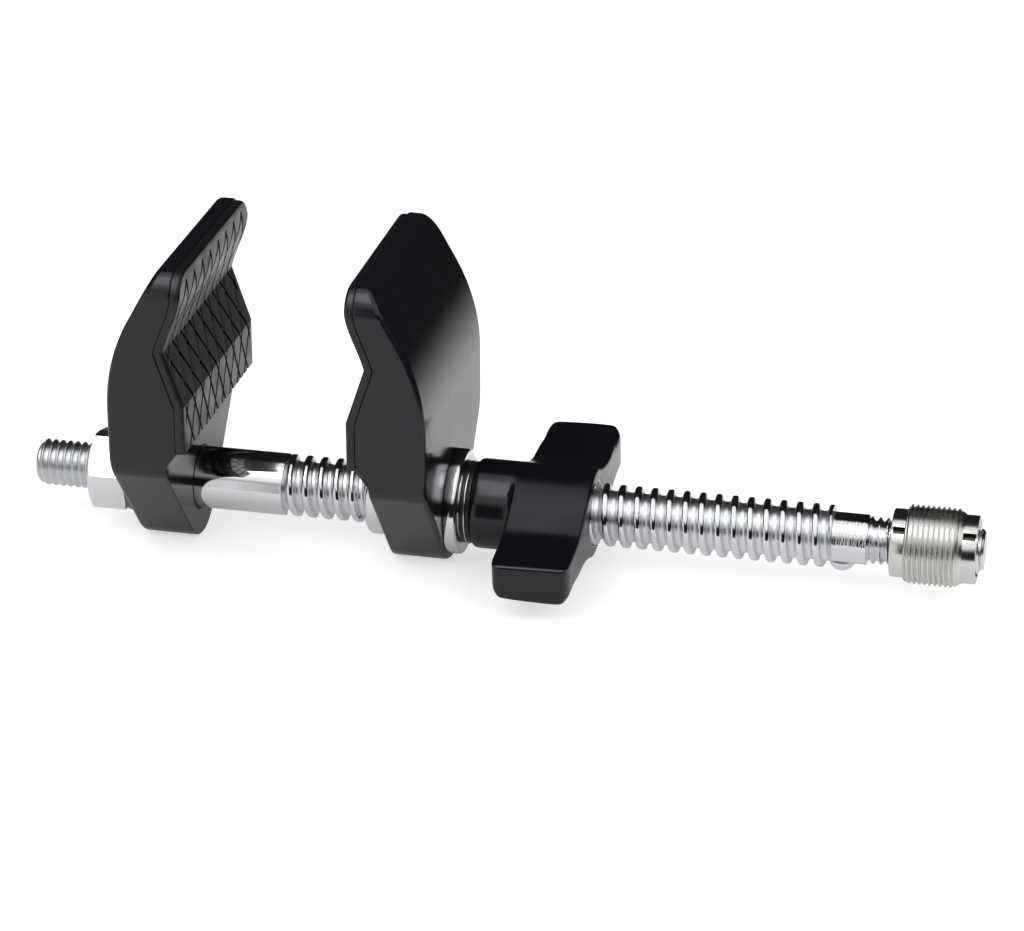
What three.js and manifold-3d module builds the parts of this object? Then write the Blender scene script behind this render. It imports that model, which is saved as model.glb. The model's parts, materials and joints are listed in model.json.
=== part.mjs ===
// Screw clamp for stage rigging: two tall padded jaws on one rod.
// The left jaw is fixed, the right one is driven along the rod by a wing handle on a coarse thread.
// Millimetres, +Z up. The origin is the centre of the rod's left end, and +X runs along the rod.

import * as THREE from 'three';
import { mergeVertices } from 'three/addons/utils/BufferGeometryUtils.js';
import Module from 'manifold-3d';

const wasm = await Module();
wasm.setup();

// Clearances
const fit_gap = 0.3;
const press_gap = 0.1;
const seat_gap = 0.05;
const overrun = 1;
const weld_overlap = 0.5;

// Rod: left stud, smooth shank, coarse thread, neck, right stud
const rod_diameter = 16;
const stud_diameter = 12;
const stud_pitch = 2;
const stud_thread_depth = 1.1;
const stud_end_chamfer = 1.3;
const left_stud_length = 36.2;
const left_thread_length = 30;
const shank_length = 30.6;
const coarse_thread_length = 141;
const coarse_thread_diameter = 15.9;
const coarse_pitch = 4.1;
const coarse_lead_in = 2.7;
const coarse_depth = 1.75;
const coarse_crest_flat = 1.5;
const coarse_flank_run = 0.5;
const neck_length = 9;
const neck_diameter = 12.6;
const right_stud_length = 29;
const keyway_width = 4;
const keyway_depth = 2.6;
const keyway_start_margin = 5;
const keyway_end_margin = 2;

// Jaw castings, the same for both jaws; depths run back from the gripping face
const jaw_width = 61.5;
const jaw_top = 67.7;
const jaw_bottom = -15.3;
const jaw_corner_radius = 7;
const jaw_nose_radius = 12.8;
const jaw_taper_top = 14.2;
const jaw_taper_radius = 9;
const jaw_back_depth = 20.1;
const jaw_top_back_depth = 6.4;
const jaw_lean_degrees = 29.1;
const jaw_bend_radius = 49;
const jaw_edge_radius = 1.5;
const recess_depth = 5.4;
const recess_top = 15.2;

// Gripping pads with a V notch across them for tube and pipe
const pad_bottom = 20;
const pad_thickness = 2.3;
const pad_top_drop = 1.2;
const notch_low = 32.4;
const notch_middle = 46.8;
const notch_high = 62.4;
const notch_depth = 4.8;
const notch_sag = 1.2;
const opening_at_rest = 41.5;
const closed_opening = 0.5;

// Left end fasteners
const nut_across_flats = 19;
const nut_thickness = 10;
const nut_chamfer_share = 0.06;
const nut_turn_degrees = 49;
const spring_washer_radius = 10.3;
const spring_washer_thickness = 1.9;
const spring_washer_slot = 1.2;
const spring_washer_slot_slant = 0.35;
const flat_washer_radius = 10.5;
const flat_washer_thickness = 1.5;
const jaw_pin_radius = 1.5;
const jaw_pin_depth_in_rod = 3;
const jaw_pin_recess = 0.8;

// Guide bush, thrust joint and guide screw of the moving jaw
const bush_radius = 10.4;
const bush_reach = 6.6;
const bush_end_round = 1.2;
const bush_head_radius = 12.2;
const bush_head_thickness = 0.7;
const cap_radius = 13.5;
const cap_length = 3.3;
const cap_edge_chamfer = 0.6;
const cap_lip_length = 0.9;
const thrust_washer_thickness = 0.6;
const insert_flange_radius = 11.9;
const guide_screw_radius = 3;
const guide_screw_recess = 0.5;
const guide_dog_radius = 1.7;
const guide_screw_offset = 7.6;

// Wing handle and its threaded insert
const insert_radius = 9.8;
const insert_end_recess = 0.8;
const hub_radius = 11.5;
const hub_round = 1.6;
const hub_gap = 2.9;
const hub_plain_length = 10.9;
const wing_length_along_rod = 19.8;
const wing_reach = 35.3;
const wing_tip_half_thickness = 5.3;
const wing_waist_half_thickness = 5.1;
const wing_waist_reach = 17;
const wing_slope_degrees = 18;
const wing_slope_blend = 3;
const wing_tip_round = 1.6;
const wing_corner_radius = 3;
const wing_root_degrees = 55;
const wing_tilt_degrees = 7.7;

// Stop screw under the neck
const stop_screw_head_radius = 3.3;
const stop_screw_head_height = 3.1;
const stop_screw_radius = 2;
const stop_screw_length = 4.6;
const stop_screw_from_thread = 2.6;
const stop_screw_spot_depth = 0.5;
const stop_screw_recess_radius = 1.1;
const stop_screw_recess_depth = 1.2;

// End collar on the right stud
const collar_start_from_neck = 6;
const collar_length = 21.4;
const collar_shoulder_length = 3.5;
const collar_shoulder_radius = 8.6;
const collar_thread_radius = 10;
const collar_pitch = 1.3;
const collar_thread_depth = 0.75;
const collar_chamfer = 0.9;
const collar_mouth_chamfer = 0.8;

// Facets
const round_segments = 32;
const small_segments = 16;
const coarse_segments = 14;
const stud_segments = 12;
const collar_segments = 24;
const arc_segments = 6;

// Places worked out from the sizes above
const rod_radius = rod_diameter / 2;
const stud_radius = stud_diameter / 2;
const coarse_radius = coarse_thread_diameter / 2;
const neck_radius = neck_diameter / 2;
const shoulder_x = left_stud_length;
const coarse_start = shoulder_x + shank_length;
const coarse_end = coarse_start + coarse_thread_length;
const neck_end = coarse_end + neck_length;
const rod_end = neck_end + right_stud_length;
const keyway_floor = -(rod_radius - keyway_depth);

const fixed_recess_x = shoulder_x + (jaw_back_depth - recess_depth) / 2;
const fixed_grip_x = fixed_recess_x + recess_depth;
const fixed_back_x = fixed_grip_x - jaw_back_depth;
const moving_grip_x = fixed_grip_x + opening_at_rest;
const moving_back_x = moving_grip_x + jaw_back_depth;
const moving_recess_x = moving_grip_x + recess_depth;
const washer_x = fixed_back_x - seat_gap - flat_washer_thickness;
const spring_washer_x = washer_x - seat_gap - spring_washer_thickness;
const nut_x = spring_washer_x - seat_gap - nut_thickness;

const bush_x = moving_recess_x - bush_reach;
const bush_head_x = moving_back_x + seat_gap;
const thrust_washer_x = bush_head_x + bush_head_thickness + seat_gap;
const insert_x = thrust_washer_x + thrust_washer_thickness + seat_gap;
const cap_x = moving_back_x + seat_gap;
const cap_end = cap_x + cap_length;
const cap_lip_x = cap_end - cap_lip_length;
const insert_flange_end = cap_lip_x - press_gap;
const hub_x = cap_end + hub_gap;
const wing_x = hub_x + hub_plain_length;
const handle_end = wing_x + wing_length_along_rod;
const insert_end = handle_end - insert_end_recess;
const guide_screw_x = moving_back_x - guide_screw_offset;
const jaw_pin_x = (shoulder_x + fixed_recess_x) / 2;
const stop_screw_x = coarse_end + stop_screw_from_thread;
const collar_x = neck_end + collar_start_from_neck;
const collar_end = collar_x + collar_length;
const closing_travel = opening_at_rest - closed_opening;
const keyway_start = guide_screw_x - closing_travel - keyway_start_margin;
const keyway_end = coarse_end - keyway_end_margin;

// Materials
const chrome = { color: 0xd4d6da, metalness: 1, roughness: 0.12 };
const zinc = { color: 0xc9ccd0, metalness: 1, roughness: 0.3 };
const turned_steel = { color: 0xb9bbbd, metalness: 1, roughness: 0.35 };
const black_paint = { color: 0x111113, metalness: 0, roughness: 0.28 };
const gloss_black = { color: 0x0b0b0d, metalness: 0, roughness: 0.15 };
const black_rubber = { color: 0x151517, metalness: 0, roughness: 0.7 };

const clamp = new THREE.Group();

function degrees(angle) {
  return THREE.MathUtils.degToRad(angle);
}

// A closed three.js geometry as a solid that can be joined and cut.
function solid(geometry) {
  geometry.deleteAttribute('normal');
  geometry.deleteAttribute('uv');
  const merged = mergeVertices(geometry);
  const corners = merged.index.array;
  const faces = [];
  for (let i = 0; i < corners.length; i += 3) {
    const [a, b, c] = [corners[i], corners[i + 1], corners[i + 2]];
    if (a !== b && b !== c && c !== a) faces.push(a, b, c);
  }
  return new wasm.Manifold(new wasm.Mesh({
    numProp: 3,
    vertProperties: Float32Array.from(merged.attributes.position.array),
    triVerts: Uint32Array.from(faces),
  }));
}

// A finished solid as a named, shaded mesh in the clamp.
function addPiece(name, body, finish) {
  const { vertProperties, triVerts } = body.getMesh();
  const geometry = new THREE.BufferGeometry();
  geometry.setAttribute('position', new THREE.BufferAttribute(vertProperties, 3));
  geometry.setIndex(new THREE.BufferAttribute(triVerts, 1));
  geometry.computeVertexNormals();
  const mesh = new THREE.Mesh(geometry, new THREE.MeshStandardMaterial(finish));
  mesh.name = name;
  clamp.add(mesh);
}

// Extrusions along X of an outline drawn in (y, z), and along Y of one drawn in (x, z).
function extrudeAlongX(shape, start, end) {
  const geometry = new THREE.ExtrudeGeometry(shape, {
    depth: end - start, bevelEnabled: false, curveSegments: arc_segments,
  });
  const axes = new THREE.Matrix4().makeBasis(
    new THREE.Vector3(0, 1, 0), new THREE.Vector3(0, 0, 1), new THREE.Vector3(1, 0, 0));
  geometry.applyMatrix4(axes);
  geometry.translate(start, 0, 0);
  return solid(geometry);
}

function extrudeAlongY(shape, width) {
  const geometry = new THREE.ExtrudeGeometry(shape, {
    depth: width, bevelEnabled: false, curveSegments: arc_segments,
  });
  geometry.rotateX(Math.PI / 2);
  geometry.translate(0, width / 2, 0);
  return solid(geometry);
}

// A solid of revolution about X; the profile is a list of [x, radius].
function turnAboutX(profile, segments = round_segments) {
  const points = profile.map(([x, radius]) => new THREE.Vector2(radius, x));
  const geometry = new THREE.LatheGeometry(points, segments);
  geometry.rotateZ(-Math.PI / 2);
  return outward(geometry);
}

// A solid of revolution about a vertical axis at x; the profile is a list of [z, radius].
function turnAboutZ(profile, x, segments = small_segments) {
  const points = profile.map(([z, radius]) => new THREE.Vector2(radius, z));
  const geometry = new THREE.LatheGeometry(points, segments);
  geometry.rotateX(Math.PI / 2);
  geometry.translate(x, 0, 0);
  return outward(geometry);
}

// Turns the faces round where a profile was drawn the other way.
function outward(geometry) {
  const body = solid(geometry);
  if (body.volume() > 0) return body;
  const index = geometry.index.array;
  for (let i = 0; i < index.length; i += 3) {
    [index[i], index[i + 1]] = [index[i + 1], index[i]];
  }
  return solid(geometry);
}

function cylinderAboutX(radius, start, end, segments = round_segments) {
  return turnAboutX([[start, 0], [start, radius], [end, radius], [end, 0]], segments);
}

function cylinderAboutZ(radius, x, low, high, segments = small_segments) {
  return turnAboutZ([[low, 0], [low, radius], [high, radius], [high, 0]], x, segments);
}

function ringAboutX(inner, outer, start, end) {
  return turnAboutX([[start, inner], [start, outer], [end, outer], [end, inner], [start, inner]]);
}

// A right-hand thread about X as one solid, closed by a fan at each end.
// The profile holds one pitch, as [distance along X, radius].
function threadAboutX(profile, pitch, segments, start, end) {
  const turns = Math.ceil((end - start) / pitch) + 3;
  const first = Math.floor(start / pitch) - 2;
  const steps = turns * segments;
  const rows = profile.length;
  const positions = [];
  for (let step = 0; step <= steps + segments; step += 1) {
    const angle = 2 * Math.PI * step / segments;
    for (const [along, radius] of profile) {
      const x = pitch * (first + step / segments) + along;
      positions.push(x, radius * Math.cos(angle), radius * Math.sin(angle));
    }
  }
  const vertex = (step, row) => (row === rows ? (step + segments) * rows : step * rows + row);
  const faces = [];
  for (let step = 0; step < steps; step += 1) {
    for (let row = 0; row < rows; row += 1) {
      const [a, b] = [vertex(step, row), vertex(step, row + 1)];
      const [c, d] = [vertex(step + 1, row), vertex(step + 1, row + 1)];
      faces.push(a, b, c, b, d, c);
    }
  }
  const start_hub = positions.length / 3;
  positions.push(pitch * first + pitch / 2, 0, 0);
  const end_hub = start_hub + 1;
  positions.push(pitch * (first + turns) + pitch / 2, 0, 0);
  for (let step = 0; step < segments; step += 1) {
    faces.push(start_hub, vertex(step, 0), vertex(step + 1, 0));
    faces.push(end_hub, vertex(steps + step + 1, 0), vertex(steps + step, 0));
  }
  for (let row = 0; row < rows; row += 1) {
    faces.push(start_hub, vertex(0, row + 1), vertex(0, row));
    faces.push(end_hub, vertex(steps, row), vertex(steps, row + 1));
  }
  const geometry = new THREE.BufferGeometry();
  geometry.setAttribute('position', new THREE.BufferAttribute(Float32Array.from(positions), 3));
  geometry.setIndex(faces);
  return outward(geometry);
}

// The coarse thread's profile; a positive gap makes the wider one that cuts the insert.
function coarseProfile(gap = 0) {
  const root = coarse_radius - coarse_depth + gap;
  const crest = coarse_radius + gap;
  const root_start = coarse_lead_in;
  const crest_end = root_start + coarse_pitch - coarse_flank_run;
  const crest_start = crest_end - coarse_crest_flat;
  return [
    [root_start + gap, root],
    [crest_start - coarse_flank_run - gap, root],
    [crest_start - gap, crest],
    [crest_end + gap, crest],
  ];
}

function sharpProfile(radius, depth, pitch, gap = 0) {
  return [[0, radius - depth + gap], [pitch / 2, radius + gap]];
}

function studProfile(gap = 0) {
  return sharpProfile(stud_radius, stud_thread_depth, stud_pitch, gap);
}

// A stretch of stud thread trimmed to its length, with a chamfer at its free end.
function studThread(start, end, free_start, free_end) {
  const tip = stud_radius - stud_end_chamfer;
  const clear = stud_end_chamfer + overrun;
  const envelope = [[start, 0]];
  if (free_start) envelope.push([start, tip], [start + clear, tip + clear]);
  else envelope.push([start, tip + clear]);
  if (free_end) envelope.push([end - clear, tip + clear], [end, tip]);
  else envelope.push([end, tip + clear]);
  envelope.push([end, 0]);
  const thread = threadAboutX(studProfile(), stud_pitch, stud_segments, start, end);
  return thread.intersect(turnAboutX(envelope, stud_segments));
}

// The keyway's plan is a slot with round ends, cut up into the rod from below.
function keywayCutter() {
  const half = keyway_width / 2;
  const low = -(rod_radius + overrun);
  const shape = new THREE.Shape();
  shape.moveTo(keyway_start + half, -half);
  shape.lineTo(keyway_end - half, -half);
  shape.absarc(keyway_end - half, 0, half, -Math.PI / 2, Math.PI / 2);
  shape.lineTo(keyway_start + half, half);
  shape.absarc(keyway_start + half, 0, half, Math.PI / 2, 3 * Math.PI / 2);
  const geometry = new THREE.ExtrudeGeometry(shape, {
    depth: keyway_floor - low, bevelEnabled: false, curveSegments: arc_segments,
  });
  geometry.translate(0, 0, low);
  return solid(geometry);
}

function makeRod() {
  const left_core = stud_radius - stud_thread_depth;
  const shank = cylinderAboutX(rod_radius, shoulder_x, coarse_start);
  const left_plain = cylinderAboutX(left_core, left_thread_length - weld_overlap,
    shoulder_x + weld_overlap);
  const left_stud = studThread(0, left_thread_length, true, false);
  const coarse = threadAboutX(coarseProfile(), coarse_pitch, coarse_segments, coarse_start, coarse_end)
    .intersect(cylinderAboutX(rod_radius, coarse_start - weld_overlap, coarse_end));
  const neck = cylinderAboutX(neck_radius, coarse_end - weld_overlap, neck_end);
  const right_stud = studThread(neck_end - weld_overlap, rod_end, false, true);
  const screw_hole_top = -(neck_radius - stop_screw_spot_depth - stop_screw_length - fit_gap);
  const below = -(rod_radius + overrun);
  return shank.add(left_plain).add(left_stud).add(coarse).add(neck).add(right_stud)
    .subtract(keywayCutter())
    .subtract(cylinderAboutZ(jaw_pin_radius + fit_gap, jaw_pin_x, below,
      -(rod_radius - jaw_pin_depth_in_rod - fit_gap)))
    .subtract(cylinderAboutZ(stop_screw_radius + fit_gap, stop_screw_x, below, screw_hole_top))
    .subtract(cylinderAboutZ(stop_screw_head_radius + fit_gap, stop_screw_x, below,
      -(neck_radius - stop_screw_spot_depth)));
}

// Outline of a jaw seen along the rod: straight sides, tapering below to a round nose.
function jawOutline(top = jaw_top) {
  const half = jaw_width / 2;
  const nose_z = jaw_bottom + jaw_nose_radius;
  const reach = Math.hypot(half, jaw_taper_top - nose_z);
  const tilt = Math.atan2(jaw_taper_top - nose_z, half);
  const tangent = tilt - Math.acos(jaw_nose_radius / reach);
  const round_z = jaw_taper_top - jaw_taper_radius * Math.tan(tangent / 2);
  const shape = new THREE.Shape();
  shape.absarc(half - jaw_taper_radius, round_z, jaw_taper_radius, tangent, 0);
  shape.lineTo(half, top - jaw_corner_radius);
  shape.absarc(half - jaw_corner_radius, top - jaw_corner_radius, jaw_corner_radius, 0, Math.PI / 2);
  shape.lineTo(-half + jaw_corner_radius, top);
  shape.absarc(-half + jaw_corner_radius, top - jaw_corner_radius, jaw_corner_radius,
    Math.PI / 2, Math.PI);
  shape.absarc(-half + jaw_taper_radius, round_z, jaw_taper_radius, Math.PI, Math.PI - tangent);
  shape.absarc(0, nose_z, jaw_nose_radius, Math.PI - tangent, 2 * Math.PI + tangent);
  return shape;
}

// The notch line from its low end to its high end, at a depth behind the gripping face.
function drawNotch(shape, toX, depth) {
  const sag_z = (notch_middle + notch_high) / 2;
  const sag_depth = notch_depth / 2 + notch_sag;
  shape.lineTo(toX(depth), notch_low);
  shape.lineTo(toX(depth + notch_depth), notch_middle);
  shape.quadraticCurveTo(toX(depth + sag_depth), sag_z, toX(depth), notch_high);
}

// One jaw casting. The direction is +1 where its back faces +X and -1 where it faces -X.
function makeJawBlank(grip_x, direction) {
  const toX = (depth) => grip_x + direction * depth;
  const lean = degrees(jaw_lean_degrees);
  const bend_depth = jaw_back_depth - jaw_bend_radius * (1 - Math.cos(lean));
  const bend_z = jaw_top - (bend_depth - jaw_top_back_depth) / Math.tan(lean);
  const centre_z = bend_z - jaw_bend_radius * Math.sin(lean);
  const shape = new THREE.Shape();
  shape.moveTo(toX(jaw_back_depth), jaw_bottom - overrun);
  shape.lineTo(toX(recess_depth), jaw_bottom - overrun);
  shape.lineTo(toX(recess_depth), recess_top);
  shape.lineTo(toX(pad_thickness), pad_bottom);
  drawNotch(shape, toX, pad_thickness);
  shape.lineTo(toX(pad_thickness), jaw_top - jaw_edge_radius);
  shape.quadraticCurveTo(toX(pad_thickness), jaw_top, toX(pad_thickness + jaw_edge_radius), jaw_top);
  shape.lineTo(toX(jaw_top_back_depth - jaw_edge_radius * Math.tan(lean)), jaw_top);
  shape.quadraticCurveTo(toX(jaw_top_back_depth), jaw_top,
    toX(jaw_top_back_depth + jaw_edge_radius * Math.sin(lean)), jaw_top - jaw_edge_radius * Math.cos(lean));
  for (let step = 0; step <= arc_segments; step += 1) {
    const angle = lean * (1 - step / arc_segments);
    const depth = jaw_back_depth - jaw_bend_radius * (1 - Math.cos(angle));
    shape.lineTo(toX(depth), centre_z + jaw_bend_radius * Math.sin(angle));
  }
  const outline = extrudeAlongX(jawOutline(), fixed_back_x - overrun, moving_back_x + overrun);
  return extrudeAlongY(shape, jaw_width).intersect(outline);
}

function makePad(grip_x, direction) {
  const toX = (depth) => grip_x + direction * depth;
  const back = pad_thickness - fit_gap;
  const sag_z = (notch_middle + notch_high) / 2;
  const sag_depth = notch_depth / 2 + notch_sag;
  const shape = new THREE.Shape();
  shape.moveTo(toX(back), pad_bottom);
  shape.lineTo(toX(0), pad_bottom);
  drawNotch(shape, toX, 0);
  shape.lineTo(toX(0), jaw_top - pad_top_drop);
  shape.lineTo(toX(back), jaw_top - pad_top_drop);
  shape.lineTo(toX(back), notch_high);
  shape.quadraticCurveTo(toX(back + sag_depth), sag_z, toX(back + notch_depth), notch_middle);
  shape.lineTo(toX(back), notch_low);
  const outline = extrudeAlongX(jawOutline(jaw_top - pad_top_drop), fixed_back_x, moving_back_x);
  return extrudeAlongY(shape, jaw_width).intersect(outline);
}

function makeFixedJaw() {
  const below = jaw_bottom - overrun;
  return makeJawBlank(fixed_grip_x, -1)
    .subtract(cylinderAboutX(stud_radius + fit_gap, fixed_back_x - overrun, shoulder_x + overrun))
    .subtract(cylinderAboutX(rod_radius + fit_gap, shoulder_x - seat_gap, fixed_grip_x + overrun))
    .subtract(cylinderAboutZ(jaw_pin_radius + fit_gap, jaw_pin_x, below, 0));
}

function makeMovingJaw() {
  const below = jaw_bottom - overrun;
  return makeJawBlank(moving_grip_x, 1)
    .subtract(cylinderAboutX(bush_radius + press_gap, moving_grip_x - overrun, moving_back_x + overrun))
    .subtract(cylinderAboutZ(guide_screw_radius + fit_gap, guide_screw_x, below, 0));
}

function makeNut() {
  const corner = nut_across_flats / 2 / Math.cos(Math.PI / 6);
  const rim = nut_across_flats / 2;
  const chamfer = nut_thickness * nut_chamfer_share;
  const hexagon = new THREE.Shape();
  for (let side = 0; side < 6; side += 1) {
    const angle = degrees(nut_turn_degrees) + side * Math.PI / 3;
    const point = [corner * Math.cos(angle), corner * Math.sin(angle)];
    if (side === 0) hexagon.moveTo(...point);
    else hexagon.lineTo(...point);
  }
  const envelope = turnAboutX([
    [nut_x, 0], [nut_x, rim], [nut_x + 2 * chamfer, corner + chamfer],
    [nut_x + nut_thickness - 2 * chamfer, corner + chamfer], [nut_x + nut_thickness, rim],
    [nut_x + nut_thickness, 0],
  ]);
  const tap = threadAboutX(studProfile(fit_gap), stud_pitch, stud_segments, nut_x, nut_x + nut_thickness);
  return extrudeAlongX(hexagon, nut_x, nut_x + nut_thickness).intersect(envelope).subtract(tap);
}

function makeSpringWasher() {
  const end = spring_washer_x + spring_washer_thickness;
  const ring = ringAboutX(stud_radius + fit_gap, spring_washer_radius, spring_washer_x, end);
  const slant = spring_washer_slot_slant * spring_washer_thickness;
  const slot = new THREE.Shape();
  slot.moveTo(spring_washer_x - seat_gap, 0);
  slot.lineTo(end + seat_gap, slant);
  slot.lineTo(end + seat_gap, slant + spring_washer_slot);
  slot.lineTo(spring_washer_x - seat_gap, spring_washer_slot);
  const cutter = new THREE.ExtrudeGeometry(slot, {
    depth: spring_washer_radius + overrun, bevelEnabled: false,
  });
  return ring.subtract(solid(cutter));
}

function makeFlatWasher() {
  return ringAboutX(stud_radius + fit_gap, flat_washer_radius, washer_x, washer_x + flat_washer_thickness);
}

function makeJawPin() {
  const low = jaw_bottom + jaw_pin_recess;
  const high = -(rod_radius - jaw_pin_depth_in_rod);
  return cylinderAboutZ(jaw_pin_radius, jaw_pin_x, low, high);
}

function makeBush() {
  const bore = rod_radius + fit_gap;
  const head_end = bush_head_x + bush_head_thickness;
  const bush = turnAboutX([
    [bush_x, bore], [bush_x, bush_radius - bush_end_round], [bush_x + bush_end_round, bush_radius],
    [bush_head_x, bush_radius], [bush_head_x, bush_head_radius], [head_end, bush_head_radius],
    [head_end, bore], [bush_x, bore],
  ]);
  return bush.subtract(cylinderAboutZ(guide_screw_radius + fit_gap, guide_screw_x,
    -(bush_radius + overrun), 0));
}

function makeCap() {
  const bore = bush_head_radius + fit_gap;
  const lip = insert_radius + fit_gap;
  return turnAboutX([
    [cap_x, bore], [cap_x, cap_radius], [cap_end - cap_edge_chamfer, cap_radius],
    [cap_end, cap_radius - cap_edge_chamfer], [cap_end, lip], [cap_lip_x, lip], [cap_lip_x, bore],
    [cap_x, bore],
  ]);
}

function makeThrustWasher() {
  return ringAboutX(rod_radius + fit_gap, insert_flange_radius, thrust_washer_x,
    thrust_washer_x + thrust_washer_thickness);
}

function makeGuideScrew() {
  const low = jaw_bottom + guide_screw_recess;
  const step = -(rod_radius + 2 * fit_gap);
  const tip = keyway_floor - fit_gap;
  return turnAboutZ([
    [low, 0], [low, guide_screw_radius], [step, guide_screw_radius], [step, guide_dog_radius],
    [tip, guide_dog_radius], [tip, 0],
  ], guide_screw_x);
}

function makeInsert() {
  const blank = turnAboutX([
    [insert_x, 0], [insert_x, insert_flange_radius], [insert_flange_end, insert_flange_radius],
    [insert_flange_end, insert_radius], [insert_end, insert_radius], [insert_end, 0],
  ]);
  const tap = threadAboutX(coarseProfile(fit_gap), coarse_pitch, coarse_segments, insert_x, insert_end);
  return blank.subtract(tap);
}

// Cross section of the wings: a hub circle that flows into a thick tip on each side. One face of
// each wing comes off the hub in a long slope, the other in a short fillet.
function wingOutline() {
  const root = degrees(wing_root_degrees);
  const root_reach = hub_radius * Math.cos(root);
  const root_height = hub_radius * Math.sin(root);
  const bend_reach = root_reach + (root_height - wing_waist_half_thickness) * Math.tan(root);
  const tilt = degrees(wing_tilt_degrees);
  const shape = new THREE.Shape();
  const place = (reach, height) => [
    reach * Math.cos(tilt) - height * Math.sin(tilt),
    reach * Math.sin(tilt) + height * Math.cos(tilt),
  ];
  const line = (reach, height) => shape.lineTo(...place(reach, height));
  const curve = (reach_1, height_1, reach_2, height_2) => {
    shape.quadraticCurveTo(...place(reach_1, height_1), ...place(reach_2, height_2));
  };
  const waist = wing_waist_half_thickness;
  const tip = wing_tip_half_thickness;
  const slope = degrees(wing_slope_degrees);
  const slope_height = hub_radius * Math.cos(slope);
  const foot_reach = hub_radius * Math.sin(slope) + (slope_height - waist) / Math.tan(slope);
  const blend_rise = wing_slope_blend * Math.tan(slope);
  shape.moveTo(...place(wing_reach, 0));
  for (const side of [1, -1]) {
    line(side * wing_reach, side * (tip - wing_tip_round));
    curve(side * wing_reach, side * tip, side * (wing_reach - wing_tip_round), side * tip);
    line(side * wing_waist_reach, side * waist);
    curve(side * bend_reach, side * waist, side * root_reach, side * root_height);
    for (let step = 1; step <= arc_segments; step += 1) {
      const angle = root + (Math.PI / 2 + slope - root) * step / arc_segments;
      line(side * hub_radius * Math.cos(angle), side * hub_radius * Math.sin(angle));
    }
    line(-side * (foot_reach - wing_slope_blend), side * (waist + blend_rise));
    curve(-side * foot_reach, side * waist, -side * (foot_reach + wing_slope_blend), side * waist);
    line(-side * (wing_reach - wing_tip_round), side * tip);
    curve(-side * wing_reach, side * tip, -side * wing_reach, side * (tip - wing_tip_round));
  }
  return shape;
}

// Plan of the wings, seen square to them, with rounded corners at the tips.
function wingPlan() {
  const [low, high] = [wing_x, handle_end];
  const reach = wing_reach;
  const round = wing_corner_radius;
  const shape = new THREE.Shape();
  shape.moveTo(low, -reach + round);
  shape.quadraticCurveTo(low, -reach, low + round, -reach);
  shape.lineTo(high - round, -reach);
  shape.quadraticCurveTo(high, -reach, high, -reach + round);
  shape.lineTo(high, reach - round);
  shape.quadraticCurveTo(high, reach, high - round, reach);
  shape.lineTo(low + round, reach);
  shape.quadraticCurveTo(low, reach, low, reach - round);
  const geometry = new THREE.ExtrudeGeometry(shape, {
    depth: 2 * hub_radius + 2 * overrun, bevelEnabled: false, curveSegments: arc_segments,
  });
  geometry.translate(0, 0, -hub_radius - overrun);
  geometry.rotateX(degrees(wing_tilt_degrees));
  return solid(geometry);
}

function makeHandle() {
  const hub = turnAboutX([
    [hub_x, 0], [hub_x, hub_radius - hub_round], [hub_x + hub_round, hub_radius],
    [handle_end, hub_radius], [handle_end, 0],
  ]);
  const wings = extrudeAlongX(wingOutline(), wing_x, handle_end).intersect(wingPlan());
  return hub.add(wings)
    .subtract(cylinderAboutX(insert_radius + press_gap, hub_x - overrun, handle_end + overrun));
}

function makeStopScrew() {
  const seat = -(neck_radius - stop_screw_spot_depth) - seat_gap;
  const crown = seat - stop_screw_head_height;
  const profile = [];
  for (let step = 0; step <= arc_segments; step += 1) {
    const angle = Math.PI / 2 * step / arc_segments;
    profile.push([seat - stop_screw_head_height * Math.cos(angle),
      stop_screw_head_radius * Math.sin(angle)]);
  }
  profile.push([seat, stop_screw_radius], [seat + stop_screw_length, stop_screw_radius],
    [seat + stop_screw_length, 0]);
  const recess = cylinderAboutZ(stop_screw_recess_radius, stop_screw_x, crown - overrun,
    crown + stop_screw_recess_depth, 6);
  return turnAboutZ(profile, stop_screw_x).subtract(recess);
}

function makeCollar() {
  const thread_start = collar_x + collar_shoulder_length;
  const thread_end = collar_end - collar_shoulder_length;
  const tip = collar_thread_radius - collar_chamfer;
  const clear = collar_chamfer + overrun;
  const envelope = turnAboutX([
    [thread_start, 0], [thread_start, tip], [thread_start + clear, tip + clear],
    [thread_end - clear, tip + clear], [thread_end, tip], [thread_end, 0],
  ], collar_segments);
  const profile = sharpProfile(collar_thread_radius, collar_thread_depth, collar_pitch);
  const thread = threadAboutX(profile, collar_pitch, collar_segments, thread_start, thread_end)
    .intersect(envelope);
  const mouth = stud_radius + fit_gap + collar_mouth_chamfer;
  const depth = mouth - (stud_radius - stud_thread_depth);
  const tap = threadAboutX(studProfile(fit_gap), stud_pitch, stud_segments, collar_x, collar_end);
  return cylinderAboutX(collar_shoulder_radius, collar_x, collar_end).add(thread).subtract(tap)
    .subtract(turnAboutX([[collar_x - overrun, 0], [collar_x - overrun, mouth + overrun],
      [collar_x + depth, mouth - depth], [collar_x + depth, 0]]))
    .subtract(turnAboutX([[collar_end - depth, 0], [collar_end - depth, mouth - depth],
      [collar_end + overrun, mouth + overrun], [collar_end + overrun, 0]]));
}

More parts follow.
